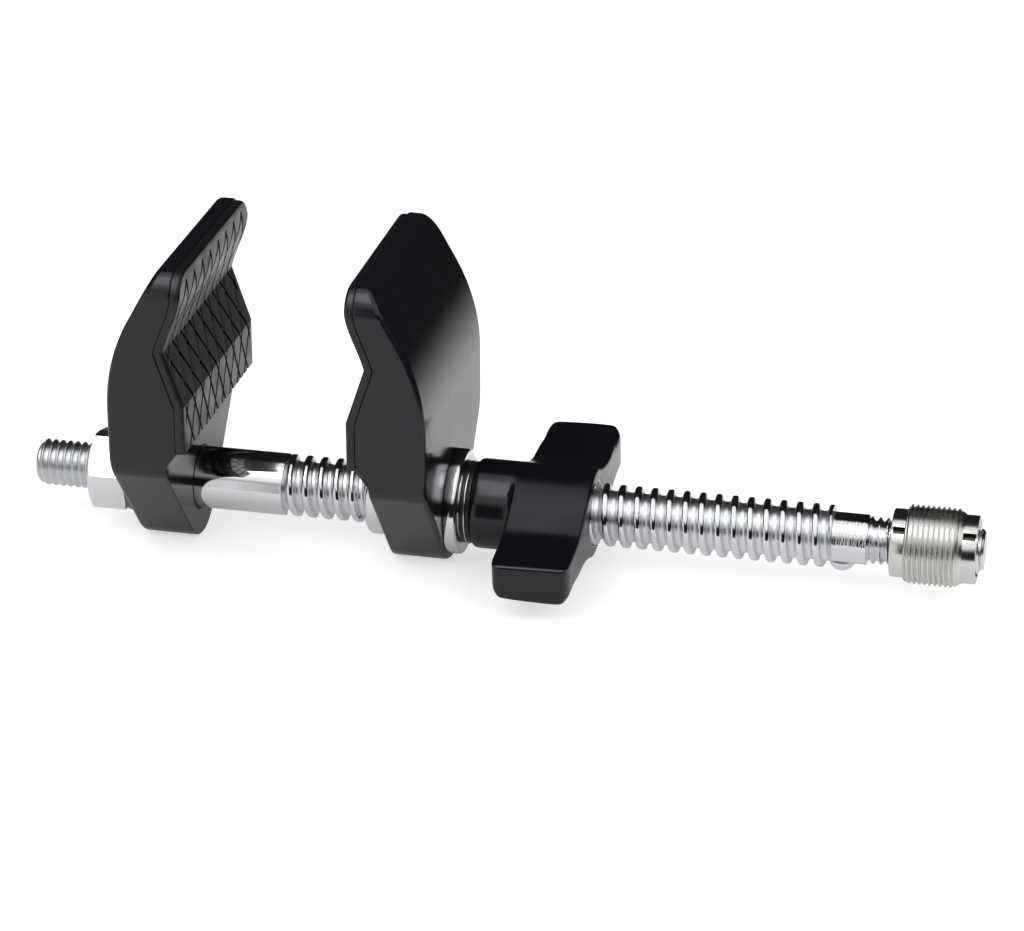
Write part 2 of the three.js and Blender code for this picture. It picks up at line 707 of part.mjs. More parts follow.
// Rod and what is fixed to it
addPiece('main_rod', makeRod(), chrome);
addPiece('hex_nut', makeNut(), zinc);
addPiece('spring_washer', makeSpringWasher(), zinc);
addPiece('flat_washer', makeFlatWasher(), zinc);
addPiece('fixed_jaw', makeFixedJaw(), black_paint);
addPiece('fixed_jaw_pad', makePad(fixed_grip_x, -1), black_rubber);
addPiece('jaw_pin', makeJawPin(), turned_steel);
addPiece('stop_screw', makeStopScrew(), chrome);
addPiece('end_collar', makeCollar(), turned_steel);

// Moving jaw and what slides with it
addPiece('moving_jaw', makeMovingJaw(), black_paint);
addPiece('moving_jaw_pad', makePad(moving_grip_x, 1), black_rubber);
addPiece('guide_bush', makeBush(), chrome);
addPiece('thrust_cap', makeCap(), chrome);
addPiece('thrust_washer', makeThrustWasher(), turned_steel);
addPiece('guide_screw', makeGuideScrew(), turned_steel);

// Wing handle and what turns with it
addPiece('wing_handle', makeHandle(), gloss_black);
addPiece('threaded_insert', makeInsert(), turned_steel);

export default clamp;
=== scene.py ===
# %% [markdown]
# # A screw clamp for stage rigging
# Two tall padded jaws sit on one rod. The left jaw is fixed. A wing handle on a coarse thread
# drives the right one. This lesson loads the clamp's solid parts, which already have their true
# sizes and joints, and gives each one the fine shape and the finish of the real object.

# %% Load the solid parts
import json
import math

import bpy
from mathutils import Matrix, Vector

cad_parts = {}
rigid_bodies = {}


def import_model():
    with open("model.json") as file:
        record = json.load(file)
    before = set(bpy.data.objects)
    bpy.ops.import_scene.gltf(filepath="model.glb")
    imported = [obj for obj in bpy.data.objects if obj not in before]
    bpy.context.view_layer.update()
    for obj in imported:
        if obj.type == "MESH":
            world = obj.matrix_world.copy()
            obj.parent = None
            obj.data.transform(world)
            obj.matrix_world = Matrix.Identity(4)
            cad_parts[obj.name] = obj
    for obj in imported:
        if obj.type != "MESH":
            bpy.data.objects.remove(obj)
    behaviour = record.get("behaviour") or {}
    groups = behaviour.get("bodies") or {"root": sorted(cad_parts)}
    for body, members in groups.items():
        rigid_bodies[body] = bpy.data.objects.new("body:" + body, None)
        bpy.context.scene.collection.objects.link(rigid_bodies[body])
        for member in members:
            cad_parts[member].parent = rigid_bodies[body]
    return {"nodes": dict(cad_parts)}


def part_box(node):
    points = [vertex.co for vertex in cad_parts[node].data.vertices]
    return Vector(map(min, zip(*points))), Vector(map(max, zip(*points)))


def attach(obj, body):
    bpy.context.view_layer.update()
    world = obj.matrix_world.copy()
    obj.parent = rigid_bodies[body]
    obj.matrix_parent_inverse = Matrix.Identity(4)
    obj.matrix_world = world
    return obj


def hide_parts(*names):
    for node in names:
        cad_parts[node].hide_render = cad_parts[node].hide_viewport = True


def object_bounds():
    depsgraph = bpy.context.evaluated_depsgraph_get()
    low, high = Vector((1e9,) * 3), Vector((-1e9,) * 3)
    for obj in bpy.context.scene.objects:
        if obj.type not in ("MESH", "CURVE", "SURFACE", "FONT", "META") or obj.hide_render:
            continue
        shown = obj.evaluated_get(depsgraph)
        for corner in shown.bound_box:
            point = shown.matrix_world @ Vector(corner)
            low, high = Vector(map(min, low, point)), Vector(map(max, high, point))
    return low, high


bpy.ops.object.select_all(action="SELECT")
bpy.ops.object.delete()
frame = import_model()
cad_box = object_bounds()
mm = 0.001
print("parts loaded:", len(frame["nodes"]))

# %% [markdown]
# The camera stands in front and to the right, looking down on the rod. Its lens is long, so the
# jaws keep their parallel sides. Only its place, its two angles and the lens are needed.

# %% Camera
camera_place = (0.31635, -0.84847, 0.40770)
camera_pitch_degrees = 65.49
camera_turn_degrees = 12.67
lens_mm = 132.8
sensor_mm = 36
nearest_seen = 0.05
farthest_seen = 50

bpy.ops.object.camera_add(
    location=camera_place,
    rotation=(math.radians(camera_pitch_degrees), 0, math.radians(camera_turn_degrees)))
camera = bpy.context.active_object
camera.name = "camera"
camera.data.lens = lens_mm
camera.data.sensor_width = sensor_mm
camera.data.clip_start = nearest_seen
camera.data.clip_end = farthest_seen
bpy.context.scene.camera = camera
bpy.context.scene.view_settings.view_transform = "Standard"
print("camera lens:", lens_mm, "mm")

# %% [markdown]
# A material is a tree of nodes joined by links. A few helpers add the nodes that come again and
# again: a sum, a smooth step, and the place of a point on the piece.

# %% Small helpers for shader nodes
def add_node(tree, kind, **settings):
    node = tree.nodes.new(kind)
    for name, value in settings.items():
        setattr(node, name, value)
    return node


def maths(tree, operation, first, second=None, third=None):
    """A Math node; each input is a socket or a number."""
    node = add_node(tree, "ShaderNodeMath", operation=operation)
    for socket, value in zip(node.inputs, (first, second, third)):
        if value is None:
            continue
        if isinstance(value, (int, float)):
            socket.default_value = value
        else:
            tree.links.new(value, socket)
    return node.outputs[0]


def fade(tree, value, start, end, low=0.0, high=1.0):
    """A smooth step of value from low at start to high at end."""
    node = add_node(tree, "ShaderNodeMapRange", interpolation_type="SMOOTHSTEP")
    tree.links.new(value, node.inputs["Value"])
    node.inputs["From Min"].default_value = start
    node.inputs["From Max"].default_value = end
    node.inputs["To Min"].default_value = low
    node.inputs["To Max"].default_value = high
    return node.outputs["Result"]


def apart(tree, vector):
    """The X, Y and Z of a vector, as three sockets."""
    node = add_node(tree, "ShaderNodeSeparateXYZ")
    tree.links.new(vector, node.inputs[0])
    return node.outputs


def object_place(tree):
    return add_node(tree, "ShaderNodeTexCoord").outputs["Object"]


def from_axis(tree, xyz):
    """How far a place is from the rod's axis, which is X."""
    square_y = maths(tree, "MULTIPLY", xyz["Y"], xyz["Y"])
    return maths(tree, "SQRT", maths(tree, "MULTIPLY_ADD", xyz["Z"], xyz["Z"], square_y))


# %% [markdown]
# A polished part shows its surroundings more than its own colour, so the studio comes before the
# pieces. Bright floor all round, a soft panel high in front, a dark room behind: that is what puts
# the dark top, the white middle and the grey underside on every round piece. The room is drawn in
# the world, by direction, because that takes no geometry and bends with every curve.

# %% The room's bright shapes, as shares of a direction
room_dark = 0.01
panel_light = 1.0
panel_low = 0.22
panel_full = 0.53
panel_back_start = 0.20
panel_back_end = 0.32
panel_left_start = -0.78
panel_left_end = -0.45
front_floor_light = 0.88
front_floor_start = -0.276
front_floor_end = -0.208
back_floor_light = 1.0
back_floor_start = -0.37
back_floor_end = -0.08
behind_start = 0.3
behind_full = 0.9
left_wall_light = 0.8
left_wall_full = -0.275
left_wall_end = -0.235
left_wall_front = -0.1
left_wall_back = 0.1
lamp_glow = 2.0
lamp_towards = (-0.20, -0.41, 0.89)
lamp_edge = 0.90
lamp_full = 0.985

world = bpy.data.worlds.new("studio")
bpy.context.scene.world = world
world.use_nodes = True
tree = world.node_tree
tree.nodes.clear()
direction = add_node(tree, "ShaderNodeTexCoord").outputs["Generated"]
towards = apart(tree, direction)
behind = fade(tree, towards["Y"], behind_start, behind_full)
front_floor = fade(tree, towards["Z"], front_floor_start, front_floor_end,
                   front_floor_light, room_dark)
back_floor = fade(tree, towards["Z"], back_floor_start, back_floor_end,
                  back_floor_light, room_dark)
floor_step = maths(tree, "SUBTRACT", back_floor, front_floor)
below = maths(tree, "MULTIPLY_ADD", floor_step, behind, front_floor)
panel = fade(tree, towards["Z"], panel_low, panel_full, 0, panel_light)
panel = maths(tree, "MULTIPLY", panel,
              fade(tree, towards["Y"], panel_back_start, panel_back_end, 1, 0))
panel = maths(tree, "MULTIPLY", panel,
              fade(tree, towards["X"], panel_left_start, panel_left_end))
left_wall = fade(tree, towards["X"], left_wall_full, left_wall_end, left_wall_light, 0)
left_wall = maths(tree, "MULTIPLY", left_wall,
                  fade(tree, towards["Y"], left_wall_front, left_wall_back, 1, 0))
left_wall = maths(tree, "MULTIPLY", left_wall,
                  fade(tree, towards["Z"], panel_low, panel_full, 1, 0))
towards_lamp = add_node(tree, "ShaderNodeVectorMath", operation="DOT_PRODUCT")
tree.links.new(direction, towards_lamp.inputs[0])
towards_lamp.inputs[1].default_value = lamp_towards
lamp_spot = fade(tree, towards_lamp.outputs["Value"], lamp_edge, lamp_full, 0, lamp_glow)
panel = maths(tree, "ADD", panel, lamp_spot)
room = maths(tree, "MAXIMUM", maths(tree, "ADD", panel, below), left_wall)

# %% [markdown]
# Only reflections may see that room. Light Path tells which kind of ray asks: a mirrored ray gets
# the room, a soft one gets an even light, and the camera gets plain white, as on a product photo.

# %% What each kind of ray sees
diffuse_light = 0.6
white = (1, 1, 1, 1)

path = add_node(tree, "ShaderNodeLightPath").outputs
mirror_room = maths(tree, "MULTIPLY", room, path["Is Glossy Ray"])
plain_side = maths(tree, "SUBTRACT", 1.0, path["Is Glossy Ray"])
plain = maths(tree, "MULTIPLY", plain_side, diffuse_light)
seen = maths(tree, "MAXIMUM", path["Is Camera Ray"], path["Is Transmission Ray"])
strength = maths(tree, "MAXIMUM", maths(tree, "ADD", mirror_room, plain), seen)
background = add_node(tree, "ShaderNodeBackground")
background.inputs["Color"].default_value = white
tree.links.new(strength, background.inputs["Strength"])
output = add_node(tree, "ShaderNodeOutputWorld")
tree.links.new(background.outputs[0], output.inputs["Surface"])
print("world nodes:", len(tree.nodes))

# %% [markdown]
# The clamp lies on white paper. A plane would do for the shadow, but a mirror close above it also
# has to see it. So reflections see the paper itself near the clamp, and look through it to the
# room's floor further off.

# %% Floor
floor_size = 6.0
floor_gap = 0.0002
floor_glow = 0.60
floor_glow_in_gloss = 0.14
floor_colour = (0.56, 0.56, 0.56, 1)
floor_roughness = 0.9
near_across = (42 * mm, 72 * mm)
near_along = (170 * mm, 260 * mm)

clamp_centre = (cad_box[0] + cad_box[1]) / 2
bpy.ops.mesh.primitive_plane_add(
    size=floor_size, location=(clamp_centre.x, clamp_centre.y, cad_box[0].z - floor_gap))
floor = bpy.context.active_object
floor.name = "floor"
paper = bpy.data.materials.new("white_paper")
paper.use_nodes = True
tree = paper.node_tree
shader = tree.nodes["Principled BSDF"]
shader.inputs["Base Color"].default_value = floor_colour
shader.inputs["Roughness"].default_value = floor_roughness
shader.inputs["Emission Color"].default_value = white
path = add_node(tree, "ShaderNodeLightPath").outputs
shows = maths(tree, "MAXIMUM", path["Is Camera Ray"], path["Is Transmission Ray"])
glow = maths(tree, "MULTIPLY", shows, floor_glow)
glow = maths(tree, "MULTIPLY_ADD", path["Is Glossy Ray"], floor_glow_in_gloss, glow)
tree.links.new(glow, shader.inputs["Emission Strength"])
spot = apart(tree, object_place(tree))
across = maths(tree, "ABSOLUTE", spot["Y"])
along = maths(tree, "ABSOLUTE", spot["X"])
far_off = maths(tree, "MAXIMUM", fade(tree, across, *near_across), fade(tree, along, *near_along))
see_room = maths(tree, "MULTIPLY", far_off, path["Is Glossy Ray"])
clear = add_node(tree, "ShaderNodeBsdfTransparent")
either = add_node(tree, "ShaderNodeMixShader")
tree.links.new(see_room, either.inputs["Fac"])
tree.links.new(shader.outputs[0], either.inputs[1])
tree.links.new(clear.outputs[0], either.inputs[2])
tree.links.new(either.outputs[0], tree.nodes["Material Output"].inputs["Surface"])
floor.data.materials.append(paper)
print("floor at", round(floor.location.z / mm, 1), "mm")

# %% [markdown]
# Three large round lamps light the paint and the rubber and leave a soft shadow. Reflections don't
# see them, since the room already holds every bright shape that the metal should show.

# %% Lamps
# name, place, size, power in watts
lamps = [
    ("key_lamp", (-0.35, -0.70, 0.95), 0.9, 7.0),
    ("fill_lamp", (0.85, -0.45, 0.60), 0.8, 4.0),
    ("rim_lamp", (0.20, 0.85, 0.80), 0.8, 3.0),
]
for name, place, size, power in lamps:
    aim = (clamp_centre - Vector(place)).to_track_quat("-Z", "Y").to_euler()
    bpy.ops.object.light_add(type="AREA", location=place, rotation=aim)
    lamp = bpy.context.active_object
    lamp.name = name
    lamp.data.shape = "DISK"
    lamp.data.size = size
    lamp.data.energy = power
    lamp.visible_glossy = False
print("lamps:", len(lamps))

# %% [markdown]
# The finishes share three small effects: a slow unevenness of gloss, as fingerprints and wear leave
# it, fine turning marks round the rod's axis, and the short strokes of a polishing belt. Each one
# is a node group with its own inputs, so it is built once and set anew in every material.

# %% A node group
def new_group(name, inputs, output):
    group = bpy.data.node_groups.new(name, "ShaderNodeTree")
    for label, value in inputs:
        socket = group.interface.new_socket(label, in_out="INPUT", socket_type="NodeSocketFloat")
        socket.default_value = value
    group.interface.new_socket(output, in_out="OUTPUT", socket_type="NodeSocketFloat")
    return group, add_node(group, "NodeGroupInput").outputs, add_node(group, "NodeGroupOutput")


# %% [markdown]
# No plated or painted face is equally glossy everywhere. A soft noise, spread between the two
# roughness values that a finish asks for, makes some patches shinier than others. Noise needs no
# picture, so it has no seams and fits every piece.

# %% Uneven gloss
patch_detail = 4.0
patch_low = 0.35
patch_high = 0.65

gloss_patches, given, result = new_group(
    "gloss_patches", [("Scale", 60.0), ("Low", 0.05), ("High", 0.15)], "Roughness")
noise = add_node(gloss_patches, "ShaderNodeTexNoise")
noise.inputs["Detail"].default_value = patch_detail
gloss_patches.links.new(object_place(gloss_patches), noise.inputs["Vector"])
gloss_patches.links.new(given["Scale"], noise.inputs["Scale"])
spread = add_node(gloss_patches, "ShaderNodeMapRange")
gloss_patches.links.new(noise.outputs["Fac"], spread.inputs["Value"])
spread.inputs["From Min"].default_value = patch_low
spread.inputs["From Max"].default_value = patch_high
gloss_patches.links.new(given["Low"], spread.inputs["To Min"])
gloss_patches.links.new(given["High"], spread.inputs["To Max"])
gloss_patches.links.new(spread.outputs["Result"], result.inputs["Roughness"])

# %% [markdown]
# A lathe tool leaves rings round the axis. The distance from the axis and the place along it are
# added into one number. A noise of that number alone has the same height all the way round, which
# is what a turned face shows.

# %% Turning marks
mark_detail = 3.0

turning_marks, given, result = new_group(
    "turning_marks", [("Rings", 4000.0), ("Along", 900.0)], "Height")
xyz = apart(turning_marks, object_place(turning_marks))
rings = maths(turning_marks, "MULTIPLY", from_axis(turning_marks, xyz), given["Rings"])
lines = maths(turning_marks, "MULTIPLY_ADD", xyz["X"], given["Along"], rings)
marks = add_node(turning_marks, "ShaderNodeTexNoise", noise_dimensions="1D")
marks.inputs["Scale"].default_value = 1.0
marks.inputs["Detail"].default_value = mark_detail
turning_marks.links.new(lines, marks.inputs["W"])
turning_marks.links.new(marks.outputs["Fac"], result.inputs["Height"])

# %% [markdown]
# A polishing belt leaves short strokes round the bar. They are an ordinary noise that is squeezed
# hard along the rod and much less across it, so each of its blobs becomes a thin stroke.

# %% Polishing strokes
stroke_detail = 2.0

polish_strokes, given, result = new_group(
    "polish_strokes", [("Along", 3000.0), ("Around", 250.0)], "Height")
stretch = add_node(polish_strokes, "ShaderNodeCombineXYZ")
for socket, name in zip(stretch.inputs, ("Along", "Around", "Around")):
    polish_strokes.links.new(given[name], socket)
squeeze = add_node(polish_strokes, "ShaderNodeVectorMath", operation="MULTIPLY")
polish_strokes.links.new(object_place(polish_strokes), squeeze.inputs[0])
polish_strokes.links.new(stretch.outputs[0], squeeze.inputs[1])
strokes = add_node(polish_strokes, "ShaderNodeTexNoise")
strokes.inputs["Scale"].default_value = 1.0
strokes.inputs["Detail"].default_value = stroke_detail
polish_strokes.links.new(squeeze.outputs[0], strokes.inputs["Vector"])
polish_strokes.links.new(strokes.outputs["Fac"], result.inputs["Height"])
print("shared effects:", len(bpy.data.node_groups))

# %% [markdown]
# Each finish starts as a Principled BSDF with its colour. An effect then drives its roughness and
# its bump, because it is the small unevenness of the gloss that makes metal and paint look real.

# %% Material helpers
metal = 1.0
not_metal = 0.0
plain_grain = 2.0


def new_material(name, colour, metallic, roughness):
    material = bpy.data.materials.new(name)
    material.use_nodes = True
    shader = material.node_tree.nodes["Principled BSDF"]
    shader.inputs["Base Color"].default_value = (*colour, 1)
    shader.inputs["Metallic"].default_value = metallic
    shader.inputs["Roughness"].default_value = roughness
    return material, material.node_tree, shader


def add_effect(tree, group, **values):
    """Places a shared effect with its own values and gives its result."""
    node = add_node(tree, "ShaderNodeGroup", node_tree=group)
    for name, value in values.items():
        node.inputs[name].default_value = value
    return node.outputs[0]


def add_grain(tree, scale, detail):
    noise = add_node(tree, "ShaderNodeTexNoise")
    noise.inputs["Scale"].default_value = scale
    noise.inputs["Detail"].default_value = detail
    tree.links.new(object_place(tree), noise.inputs["Vector"])
    return noise.outputs["Fac"]


def give_bump(tree, shader, height, distance, strength):
    bump = add_node(tree, "ShaderNodeBump")
    bump.inputs["Distance"].default_value = distance
    bump.inputs["Strength"].default_value = strength
    tree.links.new(height, bump.inputs["Height"])
    tree.links.new(bump.outputs["Normal"], shader.inputs["Normal"])


# %% [markdown]
# Metal that comes off a lathe keeps fine rings, even under bright plating. The bush, the cap and
# the stop screw are chromed, and the pins and the insert are bare steel. The washers behind the nut
# are painted dark, as painted shade of the narrow gap between the nut and the jaw. They differ only
# in colour, gloss and the depth of the rings.

# %% Turned metals
chrome_colour = (0.80, 0.81, 0.83)


def turned_metal(name, colour, roughness, scale, low, high, rings, along, depth, strength):
    material, tree, shader = new_material(name, colour, metal, roughness)
    gloss = add_effect(tree, gloss_patches, Scale=scale, Low=low, High=high)
    tree.links.new(gloss, shader.inputs["Roughness"])
    give_bump(tree, shader, add_effect(tree, turning_marks, Rings=rings, Along=along),
              depth, strength)
    return material


chrome = turned_metal("chrome", chrome_colour, roughness=0.08, scale=90.0, low=0.05, high=0.13,
                      rings=2500.0, along=1500.0, depth=0.00002, strength=0.25)

# %% [markdown]
# The rod is chromed too, but its gloss changes along its length. Hands and nuts polish the shank,
# dirt dulls the bottom of the coarse thread, and the neck keeps the strokes of the polishing belt.
# One material can hold all three: the distance from the axis tells the thread's bottom from its
# top, and X tells the stretches apart.

# %% Rod finish
rough_thread = (66.3 * mm, 208.3 * mm)
rough_edge = 0.5 * mm
thread_root_radius = 6.5 * mm
thread_crest_radius = 7.75 * mm
thread_root_roughness = 0.24
stud_inside = (6.05 * mm, 6.15 * mm)
stud_change = (25 * mm, 35 * mm)
left_stud_roughness = 0.22
right_stud_roughness = 0.06
stroke_change = 0.6 * mm
stroke_on_shank = 0.004
stroke_on_thread = 0.03
polished_neck = 207.9 * mm
neck_change = 0.4 * mm

rod_chrome, tree, shader = new_material("rod_chrome", chrome_colour, metal, 0.08)
xyz = apart(tree, object_place(tree))
radius = from_axis(tree, xyz)
deep = fade(tree, radius, thread_root_radius, thread_crest_radius, thread_root_roughness, 0)
start, end = rough_thread
inside = maths(tree, "MULTIPLY",
               fade(tree, xyz["X"], start - rough_edge, start + rough_edge),
               fade(tree, xyz["X"], end - rough_edge, end + rough_edge, 1, 0))
gloss = add_effect(tree, gloss_patches, Scale=90.0, Low=0.05, High=0.12)
dulled = maths(tree, "MULTIPLY_ADD", deep, inside, gloss)
stud = maths(tree, "MULTIPLY", fade(tree, radius, *stud_inside, 1, 0),
             fade(tree, xyz["X"], *stud_change, left_stud_roughness, right_stud_roughness))
outside = maths(tree, "SUBTRACT", 1.0, inside)
dulled = maths(tree, "MULTIPLY_ADD", stud, outside, dulled)
tree.links.new(dulled, shader.inputs["Roughness"])
on_thread = fade(tree, xyz["X"], start, start + stroke_change, stroke_on_shank, stroke_on_thread)
on_neck = fade(tree, xyz["X"], polished_neck, polished_neck + neck_change)
strong = maths(tree, "ADD", on_thread, on_neck)
strokes = add_effect(tree, polish_strokes, Along=2600.0, Around=200.0)
give_bump(tree, shader, maths(tree, "MULTIPLY", strokes, strong), distance=0.00022, strength=1.0)
print("rod finish, nodes:", len(tree.nodes))

# %% [markdown]
# Zinc plate, paint and rubber have no direction. A fine grain in the bump breaks up the gloss, from
# the crystals of the zinc to the skin of moulded rubber. The black coats are almost pure black, so
# what shows of them is their sheen, and it has a faint cool tint.

# %% Finishes with a grain
def grained(name, colour, metallic, roughness, scale, low, high, grain, depth, strength,
            detail=plain_grain, sheen=None):
    material, tree, shader = new_material(name, colour, metallic, roughness)
    if sheen:
        shader.inputs["Specular Tint"].default_value = sheen
    gloss = add_effect(tree, gloss_patches, Scale=scale, Low=low, High=high)
    tree.links.new(gloss, shader.inputs["Roughness"])
    give_bump(tree, shader, add_grain(tree, grain, detail), depth, strength)
    return material


zinc = grained("zinc_plate", (0.92, 0.935, 0.95), metal, roughness=0.2, scale=160.0, low=0.14,
               high=0.26, grain=900.0, depth=0.00003, strength=0.2)
turned_steel = turned_metal("turned_steel", (0.74, 0.735, 0.72), roughness=0.2, scale=120.0,
                            low=0.13, high=0.25, rings=6000.0, along=5000.0, depth=0.00004,
                            strength=0.45)

# %% [markdown]
# The collar is bare steel like the pins, but dust and oil sit in its thread, which is only duller.
# Its slots are painted dark, as painted shade, since little light reaches into them. A mask finds
# them: inside the collar's ends, all that lies closer to the axis than the shoulder's skin.

# %% Collar finish
collar_steel_colour = (0.76, 0.755, 0.74)
# painted shade: the dark colour put into the spanner slots, where light hardly reaches
slot_shade_colour = (0.04, 0.038, 0.035, 1)
collar_thread_inside = (8.8 * mm, 9.2 * mm)
collar_thread_dulled = 0.09
slot_inside = (8.1 * mm, 8.4 * mm)
end_skin = (0.4 * mm, 0.5 * mm)
# a colour Mix node has these places for its two colours and its result
mix_first, mix_second, mix_result = 6, 7, 2

collar_steel, tree, shader = new_material("collar_steel", collar_steel_colour, metal, 0.2)
give_bump(tree, shader, add_effect(tree, turning_marks, Rings=6000.0, Along=5000.0),
          distance=0.00003, strength=0.4)
xyz = apart(tree, object_place(tree))
radius = from_axis(tree, xyz)
gloss = add_effect(tree, gloss_patches, Scale=120.0, Low=0.12, High=0.22)
on_thread = fade(tree, radius, *collar_thread_inside, 0, collar_thread_dulled)
tree.links.new(maths(tree, "ADD", gloss, on_thread), shader.inputs["Roughness"])
low, high = (corner.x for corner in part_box("end_collar"))
inside = maths(tree, "MULTIPLY",
               fade(tree, xyz["X"], low + end_skin[0], low + end_skin[1]),
               fade(tree, xyz["X"], high - end_skin[1], high - end_skin[0], 1, 0))
deep = maths(tree, "MULTIPLY", fade(tree, radius, *slot_inside, 1, 0), inside)
# the slot mask mixes the painted slot shade into the steel's colour
mix = add_node(tree, "ShaderNodeMix", data_type="RGBA")
tree.links.new(deep, mix.inputs["Factor"])
mix.inputs[mix_first].default_value = (*collar_steel_colour, 1)
mix.inputs[mix_second].default_value = slot_shade_colour
tree.links.new(mix.outputs[mix_result], shader.inputs["Base Color"])
print("collar finish, nodes:", len(tree.nodes))

# %% [markdown]
# The jaws are powder coated and the handle has a glossier coat. The pads are moulded rubber, with
# a finer grain and a duller gloss than either.

# %% Painted washer shade, black coats and rubber
coat_sheen = (0.94, 0.94, 1.0, 1)
rubber_grain = 3.0

# painted shade: a dark steel on the zinc plated washers, for the shade in the gap between the nut
# and the jaw
washer_shade_steel = turned_metal("washer_gap_shade", (0.14, 0.14, 0.15), roughness=0.3, scale=150.0,
                          low=0.22, high=0.36, rings=5000.0, along=4000.0, depth=0.00003,
                          strength=0.3)
jaw_paint = grained("black_paint", (0.006, 0.006, 0.008), not_metal, roughness=0.1, scale=70.0,
                    low=0.12, high=0.19, grain=420.0, depth=0.00005, strength=0.12,
                    sheen=coat_sheen)
handle_paint = grained("gloss_black", (0.004, 0.004, 0.006), not_metal, roughness=0.06,
                       scale=80.0, low=0.12, high=0.20, grain=260.0, depth=0.00005,
                       strength=0.1, sheen=coat_sheen)
rubber = grained("pad_rubber", (0.007, 0.007, 0.008), not_metal, roughness=0.3, scale=200.0,
                 low=0.26, high=0.40, grain=1400.0, depth=0.00004, strength=0.3,
                 detail=rubber_grain)
print("materials:", len(bpy.data.materials))

# %% [markdown]
# Every piece is modelled as by hand: add a primitive, go into edit mode, and pull it into shape.
# An operator works on whatever is selected, so each step starts with nothing selected. These
# helpers are used by all the pieces.

# %% Selecting
def select_nothing():
    if bpy.context.mode != "OBJECT":
        bpy.ops.object.mode_set(mode="OBJECT")
    bpy.ops.object.select_all(action="DESELECT")


def select_only(piece):
    select_nothing()
    piece.select_set(True)
    bpy.context.view_layer.objects.active = piece


def settle(name):
    """Names the new primitive and puts its place, turn and scale into its mesh."""
    piece = bpy.context.active_object
    piece.name = name
    piece.data.name = name
    bpy.ops.object.transform_apply(location=True, rotation=True, scale=True)
    return piece


# %% [markdown]
# Inside a piece, a step works on some of its vertices, edges or faces. They are chosen by where
# they lie, because their numbers change with every operator. The choice is written in Object mode,
# so the helper goes there and comes back.

# %% Picking by place
weld_distance = 0.0005 * mm


def edit(piece, kind="VERT"):
    select_only(piece)
    bpy.ops.object.mode_set(mode="EDIT")
    bpy.ops.mesh.select_mode(type=kind)
    bpy.ops.mesh.select_all(action="DESELECT")


def middle_of(mesh, line):
    return (mesh.vertices[line.vertices[0]].co + mesh.vertices[line.vertices[1]].co) / 2


def pick(piece, wanted, kind="vertices"):
    """In edit mode, selects the vertices, edges or polygons whose place is wanted."""
    bpy.ops.mesh.select_all(action="DESELECT")
    bpy.ops.object.mode_set(mode="OBJECT")
    mesh = piece.data
    for element in getattr(mesh, kind):
        if kind == "vertices":
            place = element.co
        elif kind == "polygons":
            place = element.center
        else:
            place = middle_of(mesh, element)
        element.select = bool(wanted(place))
    bpy.ops.object.mode_set(mode="EDIT")


def merge_and_face_out(piece, distance=weld_distance):
    edit(piece)
    bpy.ops.mesh.select_all(action="SELECT")
    bpy.ops.mesh.remove_doubles(threshold=distance)
    bpy.ops.mesh.normals_make_consistent(inside=False)
    bpy.ops.object.mode_set(mode="OBJECT")


# %% [markdown]
# Two solids become one with a Boolean modifier, and a Bevel modifier rounds their sharp edges.
# Each modifier is applied at once, so that the next step works on a plain mesh. The last helper
# gives a finished piece its smooth shading and its material, and ties it to the body it moves with.

# %% Joining, cutting, rounding and finishing
# how far a cutter, or the hidden end of a stretch, reaches past what shows
overrun = 0.5 * mm


def apply_modifier(piece, kind, **settings):
    select_only(piece)
    modifier = piece.modifiers.new(kind.lower(), kind)
    for name, value in settings.items():
        setattr(modifier, name, value)
    bpy.ops.object.modifier_apply(modifier=modifier.name)


def combine(piece, other, operation):
    """Joins, cuts or trims piece with other, and removes other."""
    apply_modifier(piece, "BOOLEAN", object=other, operation=operation, solver="EXACT")
    bpy.data.objects.remove(other)


def soften(piece, width, steps=3, angle=32):
    """Rounds every edge that is sharper than the angle."""
    apply_modifier(piece, "BEVEL", width=width, segments=steps, limit_method="ANGLE",
                   angle_limit=math.radians(angle), use_clamp_overlap=True)


def finish(piece, material, body, slot, *nodes, angle=35):
    """Smooth shading, material, the body it rides on and the solids it stands for."""
    select_only(piece)
    bpy.ops.object.shade_smooth_by_angle(angle=math.radians(angle))
    piece.data.materials.clear()
    piece.data.materials.append(material)
    if nodes:
        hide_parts(*nodes)
    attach(piece, body)
    print(piece.name, "faces:", len(piece.data.polygons))


# %% [markdown]
# Two shapes come more than once: a block, which cuts slots, and a hexagonal bar, which is the nut
# and cuts the sockets. A bar is measured across its flats, as a spanner is, and its corners lie a
# little further out.

# %% Blocks and hexagonal bars
def block(name, place, sizes, turn=(0, 0, 0)):
    select_nothing()
    bpy.ops.mesh.primitive_cube_add(size=1, location=place, rotation=turn, scale=sizes)
    return settle(name)


def hex_bar(name, place, flats, length, turn=(0, 0, 0)):
    corner = flats / 2 / math.cos(math.pi / 6)
    select_nothing()
    bpy.ops.mesh.primitive_cylinder_add(vertices=6, radius=corner, depth=length,
                                        location=place, rotation=turn)
    return settle(name)


# %% [markdown]
# A turned piece starts as a circle round the rod's axis. The circle is extruded along the axis and
# scaled at each step of the outline, as a lathe tool would follow it. An outline that comes back to
# its start makes a ring, and any other is closed with a flat face at each end.

# %% Turned pieces
across_rod = (0, math.pi / 2, 0)


